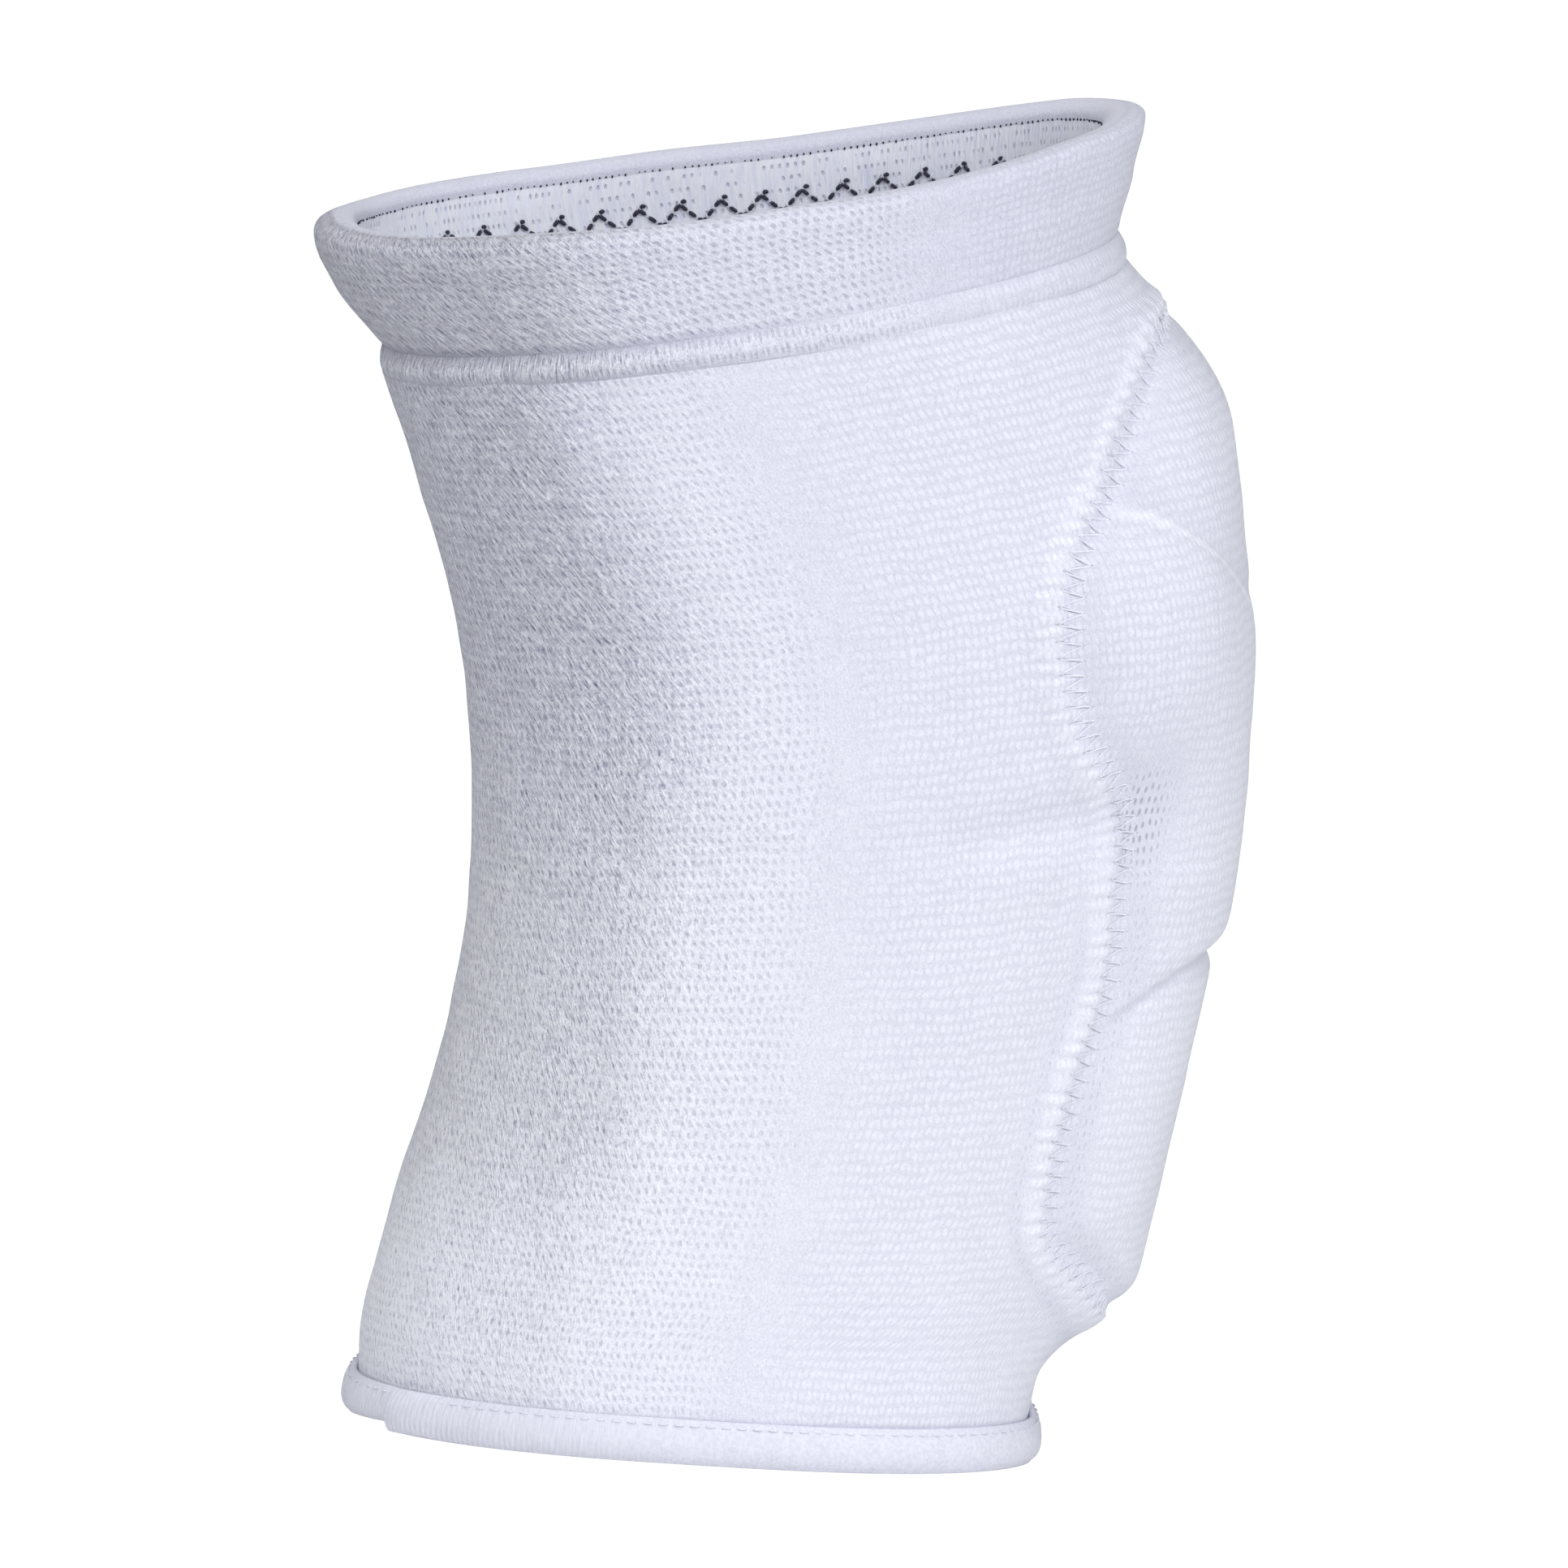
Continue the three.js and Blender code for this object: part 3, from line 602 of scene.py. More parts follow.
def knit(name, bright, dark, lean, slope, depth=0.0002, panel=False):
    """Knitted stitches: small dark gaps where the knit is coarse, small bright dots in rows where it is fine.
    The attribute coarse goes from 0 to 2, and drawn is how strongly the stitches show."""
    cloth = Cloth(name, bright)
    wale, course = cloth.map("stitches")
    place = cloth.place()
    coarse, drawn = cloth.attribute("coarse"), cloth.attribute("drawn")
    drift = cloth.noise(place, 90, 1) - 0.5
    other = cloth.noise(cloth.vector(wale, course, 4.0), 0.21, 1) - 0.5
    wale = wale + drift * 1.1
    course = course + other * 0.8
    row = cloth.math("FLOOR", course)
    high = course - row - 0.5
    leaning = high * cloth.smooth(coarse, 0.0, 1.0, 0.1 * lean, lean)
    slid = wale + leaning
    column = cloth.math("FLOOR", slid)
    wide = slid - column - 0.5
    tone = cloth.chance(cloth.vector(column, row, 0.0))
    shift = cloth.chance(cloth.vector(column, row, 5.0)) - 0.5
    high = high + shift * 0.24
    wide = wide + (tone - 0.5) * 0.2

    def spot(half_wide, half_high):
        across = (wide / half_wide) ** 2.0
        upward = (high / half_high) ** 2.0
        return cloth.smooth(across + upward, 0.0, 1.0, 1.0, 0.0)

    gap, dot = spot(0.33, 0.4), spot(0.5, 0.46)
    fibre_at = cloth.vector(slid * 4.6, course * 1.5, 0.0)
    fibre = cloth.noise(fibre_at, 1.0, 2, 0.6)
    sloping = wale + course * slope
    hair_at = cloth.vector(sloping * 3.6, course * 0.7, 7.0)
    hair = cloth.noise(hair_at, 1.0, 2, 0.65)
    fuzz = cloth.noise(place, 2500, 2, 0.6)
    rough = cloth.smooth(coarse, 0.1, 0.9)
    spaces = gap * cloth.smooth(coarse, 1.0, 1.8, 0.85, 0.5)
    spaces = spaces - cloth.smooth(coarse, 0.6, 1.4, 0.0, 0.14)
    between = (1.0 - dot) * 0.65
    dull = spaces * rough + between * (1.0 - rough)
    strands = (fibre - 0.5) * cloth.smooth(coarse, 0.0, 2.0, 0.8, 2.4)
    hairs = (hair - 0.5) * cloth.smooth(coarse, 0.6, 1.9, 0.0, 3.2)
    strands = strands + hairs
    dull = dull - strands
    relief_here = cloth.smooth(coarse, 0.6, 1.4, 1.4, 0.9) + cloth.smooth(coarse, 1.5, 2.0, 0.0, 0.5)
    raised = drawn * relief_here
    height = (1.0 - dull) * raised
    height = height + fuzz * cloth.smooth(coarse, 1.5, 2.0, 0.3, 0.5)
    dull = dull + (tone - 0.5) * 0.16
    dull = dull * drawn
    patch = cloth.noise(place, 60, 2) - 0.5
    dull = dull + patch * 0.12
    dull = dull - (fuzz - 0.5) * cloth.smooth(coarse, 0.0, 2.0, 0.8, 2.2)
    if panel:
        # Painted shade: the sleeve's knit is made darker towards the top.
        dull = dull + cloth.smooth(course, COURSES * 0.05, COURSES * 0.95, 0.02, 0.28)
        # Painted shade: towards the back, where the knit is coarse, it is made darker high up.
        upper = cloth.smooth(course, COURSES * 0.42, COURSES * 0.75, -0.05, 0.35)
        dull = dull + upper * cloth.smooth(coarse, 0.9, 1.8)
        inside, run = cloth.attribute("seam_inside"), cloth.attribute("seam_run")
        beat = cloth.math("COSINE", run * (2 * np.pi / ZIGZAG_PITCH))
        # Painted highlight on the puffs beside the seam, which are made lighter.
        puff_highlight = cloth.smooth(abs(inside + 3.0), 0.5, 2.3, 1.0, 0.0)
        puff_highlight = puff_highlight * (beat * 0.4 + 0.6)
        above = cloth.attribute("above_upper")
        # Painted highlight along the knee pad's raised upper edge, which is also raised in the bump.
        lit_ridge = cloth.smooth(abs(above + 1.9), 0.0, 1.9, 1.0, 0.0)
        lit_ridge = lit_ridge * cloth.smooth(inside, 0.5, 3.0)
        dull = dull - puff_highlight * 0.24
        dull = dull - lit_ridge * 0.3
        height = height + lit_ridge
    else:
        dull = dull + 0.4
    colour = cloth.mix(cloth.math("MAXIMUM", dull, -0.26), bright, dark, beyond=True)
    if panel:
        # Painted shade in the open stitches where the knit is stretched: the holes are real, their dark
        # colour stands in for the shade inside them.
        shaded_hole = gap * cloth.attribute("stretched_hole_shade")
        colour = cloth.mix(shaded_hole * 0.9, colour, (0.36, 0.37, 0.48))
        # Painted shade in the thin creases that the zigzag seam pulls into the knit, which are also sunk in
        # the bump.
        turn = cloth.math("PINGPONG", run / (ZIGZAG_PITCH / 2), 1.0)
        swing = (turn - 0.5) * (-2 * ZIGZAG_HALF)
        away = abs(inside - swing)
        leg = cloth.math("FRACT", run / ZIGZAG_PITCH)
        leg = cloth.smooth(abs(leg - 0.25), 0.22, 0.32, 1.0, 0.25)
        shaded_crease = cloth.smooth(away, 0.1, 0.6, 1.0, 0.0) * leg
        shaded_crease = shaded_crease * cloth.smooth(abs(inside), 1.7, 2.4, 1.0, 0.0)
        # Painted shade in the folds between the pads and on the thigh pad just above the knee pad's raised
        # edge.
        fold = cloth.smooth(abs(above), 0.1, 1.1, 1.0, 0.0)
        shade = cloth.smooth(above, -0.4, 0.6) * cloth.smooth(above, 1.0, 10.0, 0.5, 0.0)
        low_fold = cloth.smooth(abs(cloth.attribute("above_lower")), 0.1, 1.8, 1.0, 0.0)
        folds = fold * 0.3 + low_fold * 1.5
        shade = (folds + shade) * cloth.smooth(inside, 0.5, 3.0)
        colour = cloth.mix(shaded_crease * 0.32, colour, SEAM_SHADE)
        colour = cloth.mix(shade * 0.3, colour, SEAM_SHADE)
        height = height - shaded_crease
    else:
        shade = cloth.attribute("shade")
        colour = cloth.mix(shade, colour, (0.42, 0.43, 0.56))
    cloth.colour(colour)
    cloth.bump(height, depth)
    return cloth.material


def cuff_lining(name):
    """The elastic layer inside the cuff: fine upright threads with small dots of dark thread."""
    cloth = Cloth(name, (0.8, 0.82, 0.92))
    wale, rise = cloth.map("stitches")
    place = cloth.place()
    streak_at = cloth.vector(wale * 2.1, rise * 0.22, 0.0)
    streaks = cloth.noise(streak_at, 1.0, 3, 0.65)
    coarse = cloth.noise(cloth.vector(wale * 0.7, rise * 0.12, 3.0), 1.0, 1)
    row = cloth.math("FLOOR", rise / 1.25)
    odd = cloth.math("PINGPONG", row, 1.0) * 0.5
    column = wale * 1.35 + odd
    wide = cloth.math("FRACT", column) - 0.5
    high = cloth.math("FRACT", rise / 1.25) - 0.5
    away = cloth.math("SQRT", wide ** 2.0 + high ** 2.0)
    dot = cloth.smooth(away, 0.1, 0.24, 1.0, 0.0)
    present = cloth.smooth(cloth.chance(cloth.vector(cloth.math("FLOOR", column), row, 2.0)), 0.25, 0.75)
    dot = dot * present
    body = cloth.mix(cloth.smooth(streaks, 0.3, 0.62), (0.82, 0.85, 1.0), (0.92, 0.945, 1.0))
    body = cloth.mix(cloth.smooth(coarse, 0.52, 0.7, 0.0, 0.25), body, (0.72, 0.755, 0.96))
    cloth.colour(cloth.mix(dot * 0.42, body, (0.3, 0.31, 0.52)))
    height = streaks - dot * 0.6
    height = height + cloth.noise(place, 700, 2) * 0.2
    cloth.bump(height, 0.0003)
    return cloth.material


def wound_thread(name, bright, dark, along_scale=0.35, across_scale=5.0, depth=0.0002, fading=False):
    """Threads that lie side by side, each with its fibres."""
    cloth = Cloth(name, bright, sheen=0.15)
    across, run = cloth.map("stitches")
    fibre_at = cloth.vector(across * across_scale, run * along_scale, 0.0)
    fibre = cloth.noise(fibre_at, 1.0, 3, 0.6)
    rib = abs(cloth.math("FRACT", across) - 0.5)
    fuzz = cloth.noise(cloth.place(), 1500, 3, 0.6)
    shown = cloth.smooth(fibre, 0.25, 0.6, 0.25, 1.0)
    shown = shown * cloth.smooth(rib, 0.28, 0.5, 1.0, 0.45)
    if fading:
        strength = cloth.attribute("ribbing")
        plain = cloth.smooth(fuzz, 0.3, 0.7, 0.3, 1.0)
        shown = shown * strength + plain * (1.0 - strength)
        fibre = fibre * strength + fuzz * 0.4
    tone = cloth.chance(cloth.vector(cloth.math("FLOOR", across), 0.0, 0.0))
    shown = cloth.math("ADD", shown, tone * 0.12, clamp=True)
    cloth.colour(cloth.mix(shown, dark, bright))
    cloth.bump(fibre, depth)
    return cloth.material


def sewing_thread(name, bright, dark, roughness=0.7):
    """Twisted thread."""
    cloth = Cloth(name, bright, roughness, 0.1)
    run, around = cloth.map("stitches")
    twist = run * 1.6 + around * 2.0
    ply = abs(cloth.math("FRACT", twist) - 0.5)
    hair = cloth.noise(cloth.place(), 5000, 2)
    height = ply + hair * 0.5
    cloth.colour(cloth.mix(cloth.smooth(height, 0.1, 0.7), dark, bright))
    cloth.bump(height, 0.0001)
    return cloth.material


def foam_backing(name):
    """Brushed cloth bonded over the foam."""
    cloth = Cloth(name, (0.87, 0.88, 0.93))
    place = cloth.place()
    nap = cloth.noise(place, 900, 3, 0.6)
    weave = cloth.noise(place, 260, 2)
    soft = cloth.noise(place, 45, 2)
    lit = nap * 0.6 + soft * 0.4
    cloth.colour(cloth.mix(cloth.smooth(lit, 0.3, 0.65), (0.72, 0.73, 0.81), (0.9, 0.91, 0.95)))
    cloth.bump(nap + weave, 0.00025)
    return cloth.material


knit_cloth = knit("knit", KNIT_BRIGHT, KNIT_DARK, 0.55, 0.7, panel=True)
cuff_cloth = knit("cuff_knit", CUFF_BRIGHT, KNIT_DARK, 0.6, 1.25)
welt_cloth = knit("welt_knit", KNIT_BRIGHT, KNIT_DARK, 0.2, 0.1)
lining_cloth = cuff_lining("cuff_lining")
binding_cloth = wound_thread("binding_thread", (0.755, 0.768, 0.865), (0.61, 0.62, 0.73), fading=True)
white_thread = sewing_thread("seam_thread", (0.84, 0.855, 0.95), (0.64, 0.65, 0.77))
dark_thread = sewing_thread("dark_thread", (0.035, 0.035, 0.07), (0.012, 0.012, 0.025), 0.6)
foam_cloth = foam_backing("backed_foam")

# Sleeve
PANEL_STEP, BACK_STEP, PANEL_SIDE = 0.75, 1.85, 62
OUTER_ROWS, LEG_SIDE_ROWS = 262, 34
FAR_OUTSIDE = -99.0
WAIST_ANGLE, WAIST_SPREAD, WAIST_UP = 32.5, 4.6, 0.548


def sleeve_angles():
    near = np.arange(0, PANEL_SIDE, PANEL_STEP)
    far = np.linspace(PANEL_SIDE, 180, int((180 - PANEL_SIDE) / BACK_STEP))
    half = np.concatenate([near, far])
    return np.concatenate([half, 360 - half[1:-1][::-1]])


def stitch_counts(surface, angles):
    """The wale at each point of a surface [column, row, xyz], and at the first column once more."""
    steps = np.linalg.norm(np.diff(np.concatenate([surface, surface[:1]]), axis=0), axis=2)
    steps = steps * sleeve_density((angles + np.append(angles[1:], 360)) / 2)[:, None]
    run = np.concatenate([np.zeros((1, surface.shape[1])), np.cumsum(steps, axis=0)])
    return run / run[-1:] * WALES


def coarseness(angle, up):
    """How coarse the knit looks: about 0 on the panel, 1 from the line behind the knee, 2 at the back."""
    side = np.abs(angle)
    line = along(BACK_LINE, "up", up, "angle") - 8 * smoothstep(up, 0.5, 0.8)
    behind = 0.6 * smoothstep(side, line - 14, line + 14) * lerp(0.8, 1, smoothstep(up, 0.14, 0.3))
    back = 1.1 * smoothstep(side, line + 4, line + 42) * lerp(0.75, 1, smoothstep(up, 0.05, 0.4))
    return 0.25 * smoothstep(side, 50, 78) + behind + back


def drawn_by(coarse):
    """How strongly stitches show where the knit is so coarse."""
    return 0.4 + 0.06 * smoothstep(coarse, 0.3, 1) + 0.6 * smoothstep(coarse, 0.9, 1.9)


def make_sleeve():
    angles = sleeve_angles()
    turned = signed(angles)[:, None]
    rows = np.linspace(0, 1, OUTER_ROWS)[None, :]
    inner_rows = np.linspace(1, 0, LEG_SIDE_ROWS)[None, :]
    hem = binding_section(BINDING_HEIGHT - BINDING_GRIP)
    seam, tucked = cuff_section(WELT_HEIGHT), cuff_section(WELT_HEIGHT + CUFF_TUCK)
    edge = lambda section, lift: point_on(section, turned, lift)
    outer = knit_surface(turned, rows)
    leg_side = point_on(sleeve_section(inner_rows), turned, relief(turned, inner_rows))
    outlines = np.concatenate([
        edge(hem, KNIT_WALL), outer, edge(seam, KNIT_WALL), edge(tucked, KNIT_WALL),
        edge(tucked, 0.0), edge(seam, 0.0), leg_side, edge(hem, 0.0)], axis=1)
    up = np.concatenate([[-0.02], rows[0], [1.02, 1.05, 1.05, 1.02], inner_rows[0], [-0.02, -0.02]]) * COURSES
    stitches = stitch_counts(outer, angles)
    middle = stitches[:, rows.size // 2]
    across = np.column_stack([stitches[:, :1], stitches, np.repeat(stitches[:, -1:], 4, 1),
                              np.repeat(middle[:, None], inner_rows.size, 1), stitches[:, :1]])
    inside, run = seam_place(turned, rows)
    # Where the stretched knit opens its stitches, at the waist and beside the seam; the knit's material
    # paints these holes dark as shade.
    waist = 1.1 * bell((np.abs(turned) - WAIST_ANGLE) / WAIST_SPREAD)
    waist = waist * bell((rows - WAIST_UP) * FRONT_LENGTH / 10)
    low = 1 - smoothstep(rows, 0.44, 0.52)
    beside = 0.55 * bell((inside - 3.0) / 1.2) + 0.5 * bell((inside + 5.4) / 1.2) * low
    on_face = {
        "stretched_hole_shade": np.clip(waist + beside * (0.35 + 0.65 * low), 0, 1),
        "coarse": coarseness(turned, rows),
        "drawn": drawn_by(coarseness(turned, rows)),
        "seam_inside": inside, "seam_run": run,
        "above_upper": (rows - guide(turned, "upper")) * FRONT_LENGTH,
        "above_lower": (rows - guide(turned, "lower")) * FRONT_LENGTH,
    }
    attributes = {}
    for label, values in on_face.items():
        elsewhere = 0.0 if label in ("stretched_hole_shade", "coarse", "drawn") else FAR_OUTSIDE
        attributes[label] = np.full(outlines.shape[:2], elsewhere)
        attributes[label][:, 1:1 + rows.size] = values
    sleeve = ring("knit_sleeve", outlines, across, up, [knit_cloth], **attributes)
    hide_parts("sleeve")


# Pads
PAD_INSET, PAD_BACK, PAD_CORNER = 0.8, 0.15, 3

def make_pad(node, start, end, low, high):
    """A foam pad behind the knit between two guides, with rounded edges."""
    rows, columns = 44, 60
    share = np.linspace(0, 1, rows)[:, None]
    across = np.linspace(-1, 1, columns)[None, :]
    from_up, to_up = guide(PANEL_ANGLE, start), guide(PANEL_ANGLE, end)
    level = lerp(from_up, to_up, share)
    held = np.clip(level, 0.167, 0.845)
    width = PANEL_ANGLE * along(SEAM_LINE, "up", held, "across") - (SEAM_LEDGE + PAD_INSET) / PANEL_ARC
    angle = width * across
    below = guide(angle, start) + low / FRONT_LENGTH
    above = guide(angle, end) - high / FRONT_LENGTH
    up = lerp(below, above, share)
    outer = relief(angle, up) - PAD_GAP - PAD_BACK
    edge = np.minimum(np.minimum(share, 1 - share) * 60, (1 - np.abs(across)) * 28)
    rounded = np.sqrt(np.clip(1 - (1 - np.clip(edge / PAD_CORNER, 0, 1)) ** 2, 0, 1))
    middle = (outer + PAD_BACK) / 2
    front = point_on(sleeve_section(up), angle, lerp(middle, outer, rounded))
    back = point_on(sleeve_section(up), angle, lerp(middle, PAD_BACK, rounded))
    count = rows * columns
    i, j = np.meshgrid(np.arange(rows - 1), np.arange(columns - 1), indexing="ij")
    i, j = i.ravel(), j.ravel()
    quad = np.column_stack([i * columns + j, i * columns + j + 1,
                            (i + 1) * columns + j + 1, (i + 1) * columns + j])
    border = ([(0, k) for k in range(columns)] + [(k, columns - 1) for k in range(1, rows)]
              + [(rows - 1, k) for k in range(columns - 2, -1, -1)]
              + [(k, 0) for k in range(rows - 2, 0, -1)])
    rim = [a * columns + b for a, b in border]
    sides = [[rim[k], rim[k - 1], rim[k - 1] + count, rim[k] + count] for k in range(len(rim))]
    faces = np.concatenate([quad, quad[:, ::-1] + count, np.array(sides)])
    vertices = np.concatenate([front.reshape(-1, 3), back.reshape(-1, 3)])
    pad = finish_mesh(node + "_foam", vertices, faces.tolist(), [foam_cloth])
    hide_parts(node)


# Cuff

def cuff_profile():
    """Outline of the doubled band: heights over the welt's top, distances off the leg side and the layer."""
    outer = KNIT_WALL + SEAM_GAP + CUFF_LAYER
    inner = -SEAM_GAP - CUFF_LAYER
    wide = (outer + CUFF_SWELL - inner + CUFF_SWELL * 0.4) / 2
    middle = (outer + CUFF_SWELL + inner - CUFF_SWELL * 0.4) / 2
    rise = np.concatenate([[0, 0.03, 0.2, 0.45, 0.8, 1.2], np.linspace(1.7, CUFF_FOLD, 38)[:-1]])
    lip = 0.3 * np.sin(np.clip(rise / 1.6, 0, 1) * np.pi / 2)
    off = KNIT_WALL + SEAM_GAP + lip + (CUFF_LAYER - 0.3) * smoothstep(rise, 0.6, 10)
    off += CUFF_SWELL * smoothstep(rise, CUFF_HEIGHT * 0.45, CUFF_FOLD)
    turn = np.linspace(0, np.pi, 19)
    rise = np.concatenate([rise, CUFF_FOLD + CUFF_HEIGHT * 0.1 * np.sin(turn)])
    off = np.concatenate([off, middle + wide * np.cos(turn)])
    down = np.linspace(CUFF_FOLD, SEAM_GAP, 22)[1:]
    rise = np.concatenate([rise, down])
    off = np.concatenate([off, inner - CUFF_SWELL * 0.4 * smoothstep(down, CUFF_HEIGHT * 0.45, CUFF_FOLD)])
    slot = [(SEAM_GAP, -SEAM_GAP), (CUFF_TUCK + SEAM_GAP, -SEAM_GAP),
            (CUFF_TUCK + SEAM_GAP, KNIT_WALL + SEAM_GAP), (SEAM_GAP, KNIT_WALL + SEAM_GAP)]
    rise = np.concatenate([rise, [place[0] for place in slot]])
    off = np.concatenate([off, [place[1] for place in slot]])
    return rise, off


# Height of the cuff's inner row of dark stitches below the rim, and of its zigzag
DASHES_BELOW_RIM = 2.8
ZIGZAG_BELOW_RIM = 9.2
LOWER_DASHES_BELOW_RIM = ZIGZAG_BELOW_RIM + 4.3


def cuff_coarseness(angle):
    side = np.abs(signed(angle))
    return 0.25 + 0.8 * smoothstep(side, 45, 85) + 0.9 * smoothstep(side, 85, 130)


def cuff_height(angle, rise):
    """Heights over the welt's top: the band is uneven and lower on its near side, behind and in front."""
    c, s = np.cos(np.radians(angle)), np.sin(np.radians(angle))
    sag = 0.7 + 2.1 * smoothstep(-s, 0.1, 0.9) + 1.2 * smoothstep(-c, 0.5, 1) + 0.9 * smoothstep(c, 0.8, 1)
    share = smoothstep(rise, CUFF_TUCK + SEAM_GAP, CUFF_HEIGHT)
    return WELT_HEIGHT + rise + share * (0.3 * value_noise(angle, 18, 0 * angle, 7) - sag)


def make_cuff():
    rise, off = cuff_profile()
    angles = np.linspace(0, 360, 321)[:-1]
    turned = angles[:, None]
    share = smoothstep(rise, 0, CUFF_HEIGHT)[None, :]
    wobble = (value_noise(turned, 26, rise[None, :] / 7, 5) * 0.28
              + value_noise(turned, 64, rise[None, :] / 4, 6) * 0.1)
    lift = off[None, :] + wobble * share
    outlines = point_on(cuff_section(cuff_height(turned, rise[None, :])), turned, lift)
    inner = (off < -0.5) & (rise < CUFF_HEIGHT - DASHES_BELOW_RIM)
    across = wale_at(np.append(angles, 360), CUFF_WALES, cuff_density)
    run = np.concatenate([[0], np.cumsum(np.hypot(np.diff(rise), np.diff(off)))])
    run = np.append(run, run[-1] + 1)
    folded = smoothstep(off, 2.6, 0.0)[None, :]
    coarse = lerp(cuff_coarseness(turned), 0.3, folded)
    behind = smoothstep(np.abs(signed(turned)), 62, 110)
    shade = bell(rise[None, :] / 1.0) * lerp(0.08, 0.62, behind) * (1 - folded)
    cloths = [cuff_cloth, lining_cloth]
    cuff = ring("cuff_band", outlines, across, run / CUFF_COURSE, cloths, inner.astype(int),
                coarse=coarse, drawn=drawn_by(coarse) * lerp(1.25, 0.3, folded), shade=shade)
    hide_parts("cuff")


def make_welt():
    """The narrow ribbed band below the cuff."""
    per_rib = 5
    turn = FULL_TURN
    wale = np.arange(WELT_RIBS * per_rib) / per_rib
    angles = np.interp(wale, wale_at(turn, WELT_RIBS), turn)
    share = np.concatenate([[0, 0.006], np.linspace(0, 1, 15)[1:-1], [0.994, 1]])
    rise = np.concatenate([WELT_HEIGHT * share, [WELT_HEIGHT * 0.75, WELT_HEIGHT * 0.25]])
    bulge = np.concatenate([(0.5 - 0.5 * np.cos(2 * np.pi * share)) ** 0.7, [0, 0]])[None, :]
    edge = np.concatenate([-0.28 * (1 - smoothstep(share, 0, 0.3)), [-0.3, -0.3]])[None, :]
    behind = smoothstep(np.abs(signed(angles)), 50, 125)[:, None]
    rib = lerp(0.02, 0.06, behind) * np.cos(2 * np.pi * wale)[:, None] * bulge
    uneven = 0.2 * value_noise(angles[:, None], 40, rise[None, :] / 6, 8) * bulge
    face = KNIT_WALL + SEAM_GAP
    hidden = smoothstep(np.abs(signed(angles)), 140, 172)[:, None]
    proud = lerp(lerp(0.4, 0.95, behind), 0.25, hidden) * WELT_SWELL * bulge
    outlines = point_on(cuff_section(rise[None, :]), angles[:, None], face + edge + proud + rib + uneven)
    coarse = np.broadcast_to(cuff_coarseness(angles)[:, None], outlines.shape[:2])
    ends = np.maximum(bell(rise / 0.8), bell((rise - WELT_HEIGHT) / 0.8))[None, :]
    shade = lerp(0.05, 0.6, smoothstep(np.abs(signed(angles)), 62, 110))[:, None] * ends
    welt = ring("ribbed_welt", outlines, np.append(wale, WELT_RIBS) * 1.5, np.append(rise, 0.0) / 2.6,
                [welt_cloth], coarse=coarse, drawn=drawn_by(coarse), shade=shade)
    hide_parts("cuff_welt")


# Binding
RIBS = 330
HEM_STITCH, HEM_STITCH_PITCH = 1.7, 2.7


def binding_run():
    """How far round the binding each angle of a full turn lies."""
    return run_along(point_on(binding_section(0.0), FULL_TURN, KNIT_WALL + BINDING_OUT))


def lap_raise(past):
    raised = LAP_LIFT * np.minimum(1, past / LAP_STEP) * (1 - past / LAP_TURN)
    return np.where((past < 0) | (past > LAP_TURN), 0, raised)


def binding_angles(per_rib):
    run = binding_run()
    return np.interp(np.arange(RIBS * per_rib) / (RIBS * per_rib) * run[-1], run, FULL_TURN)


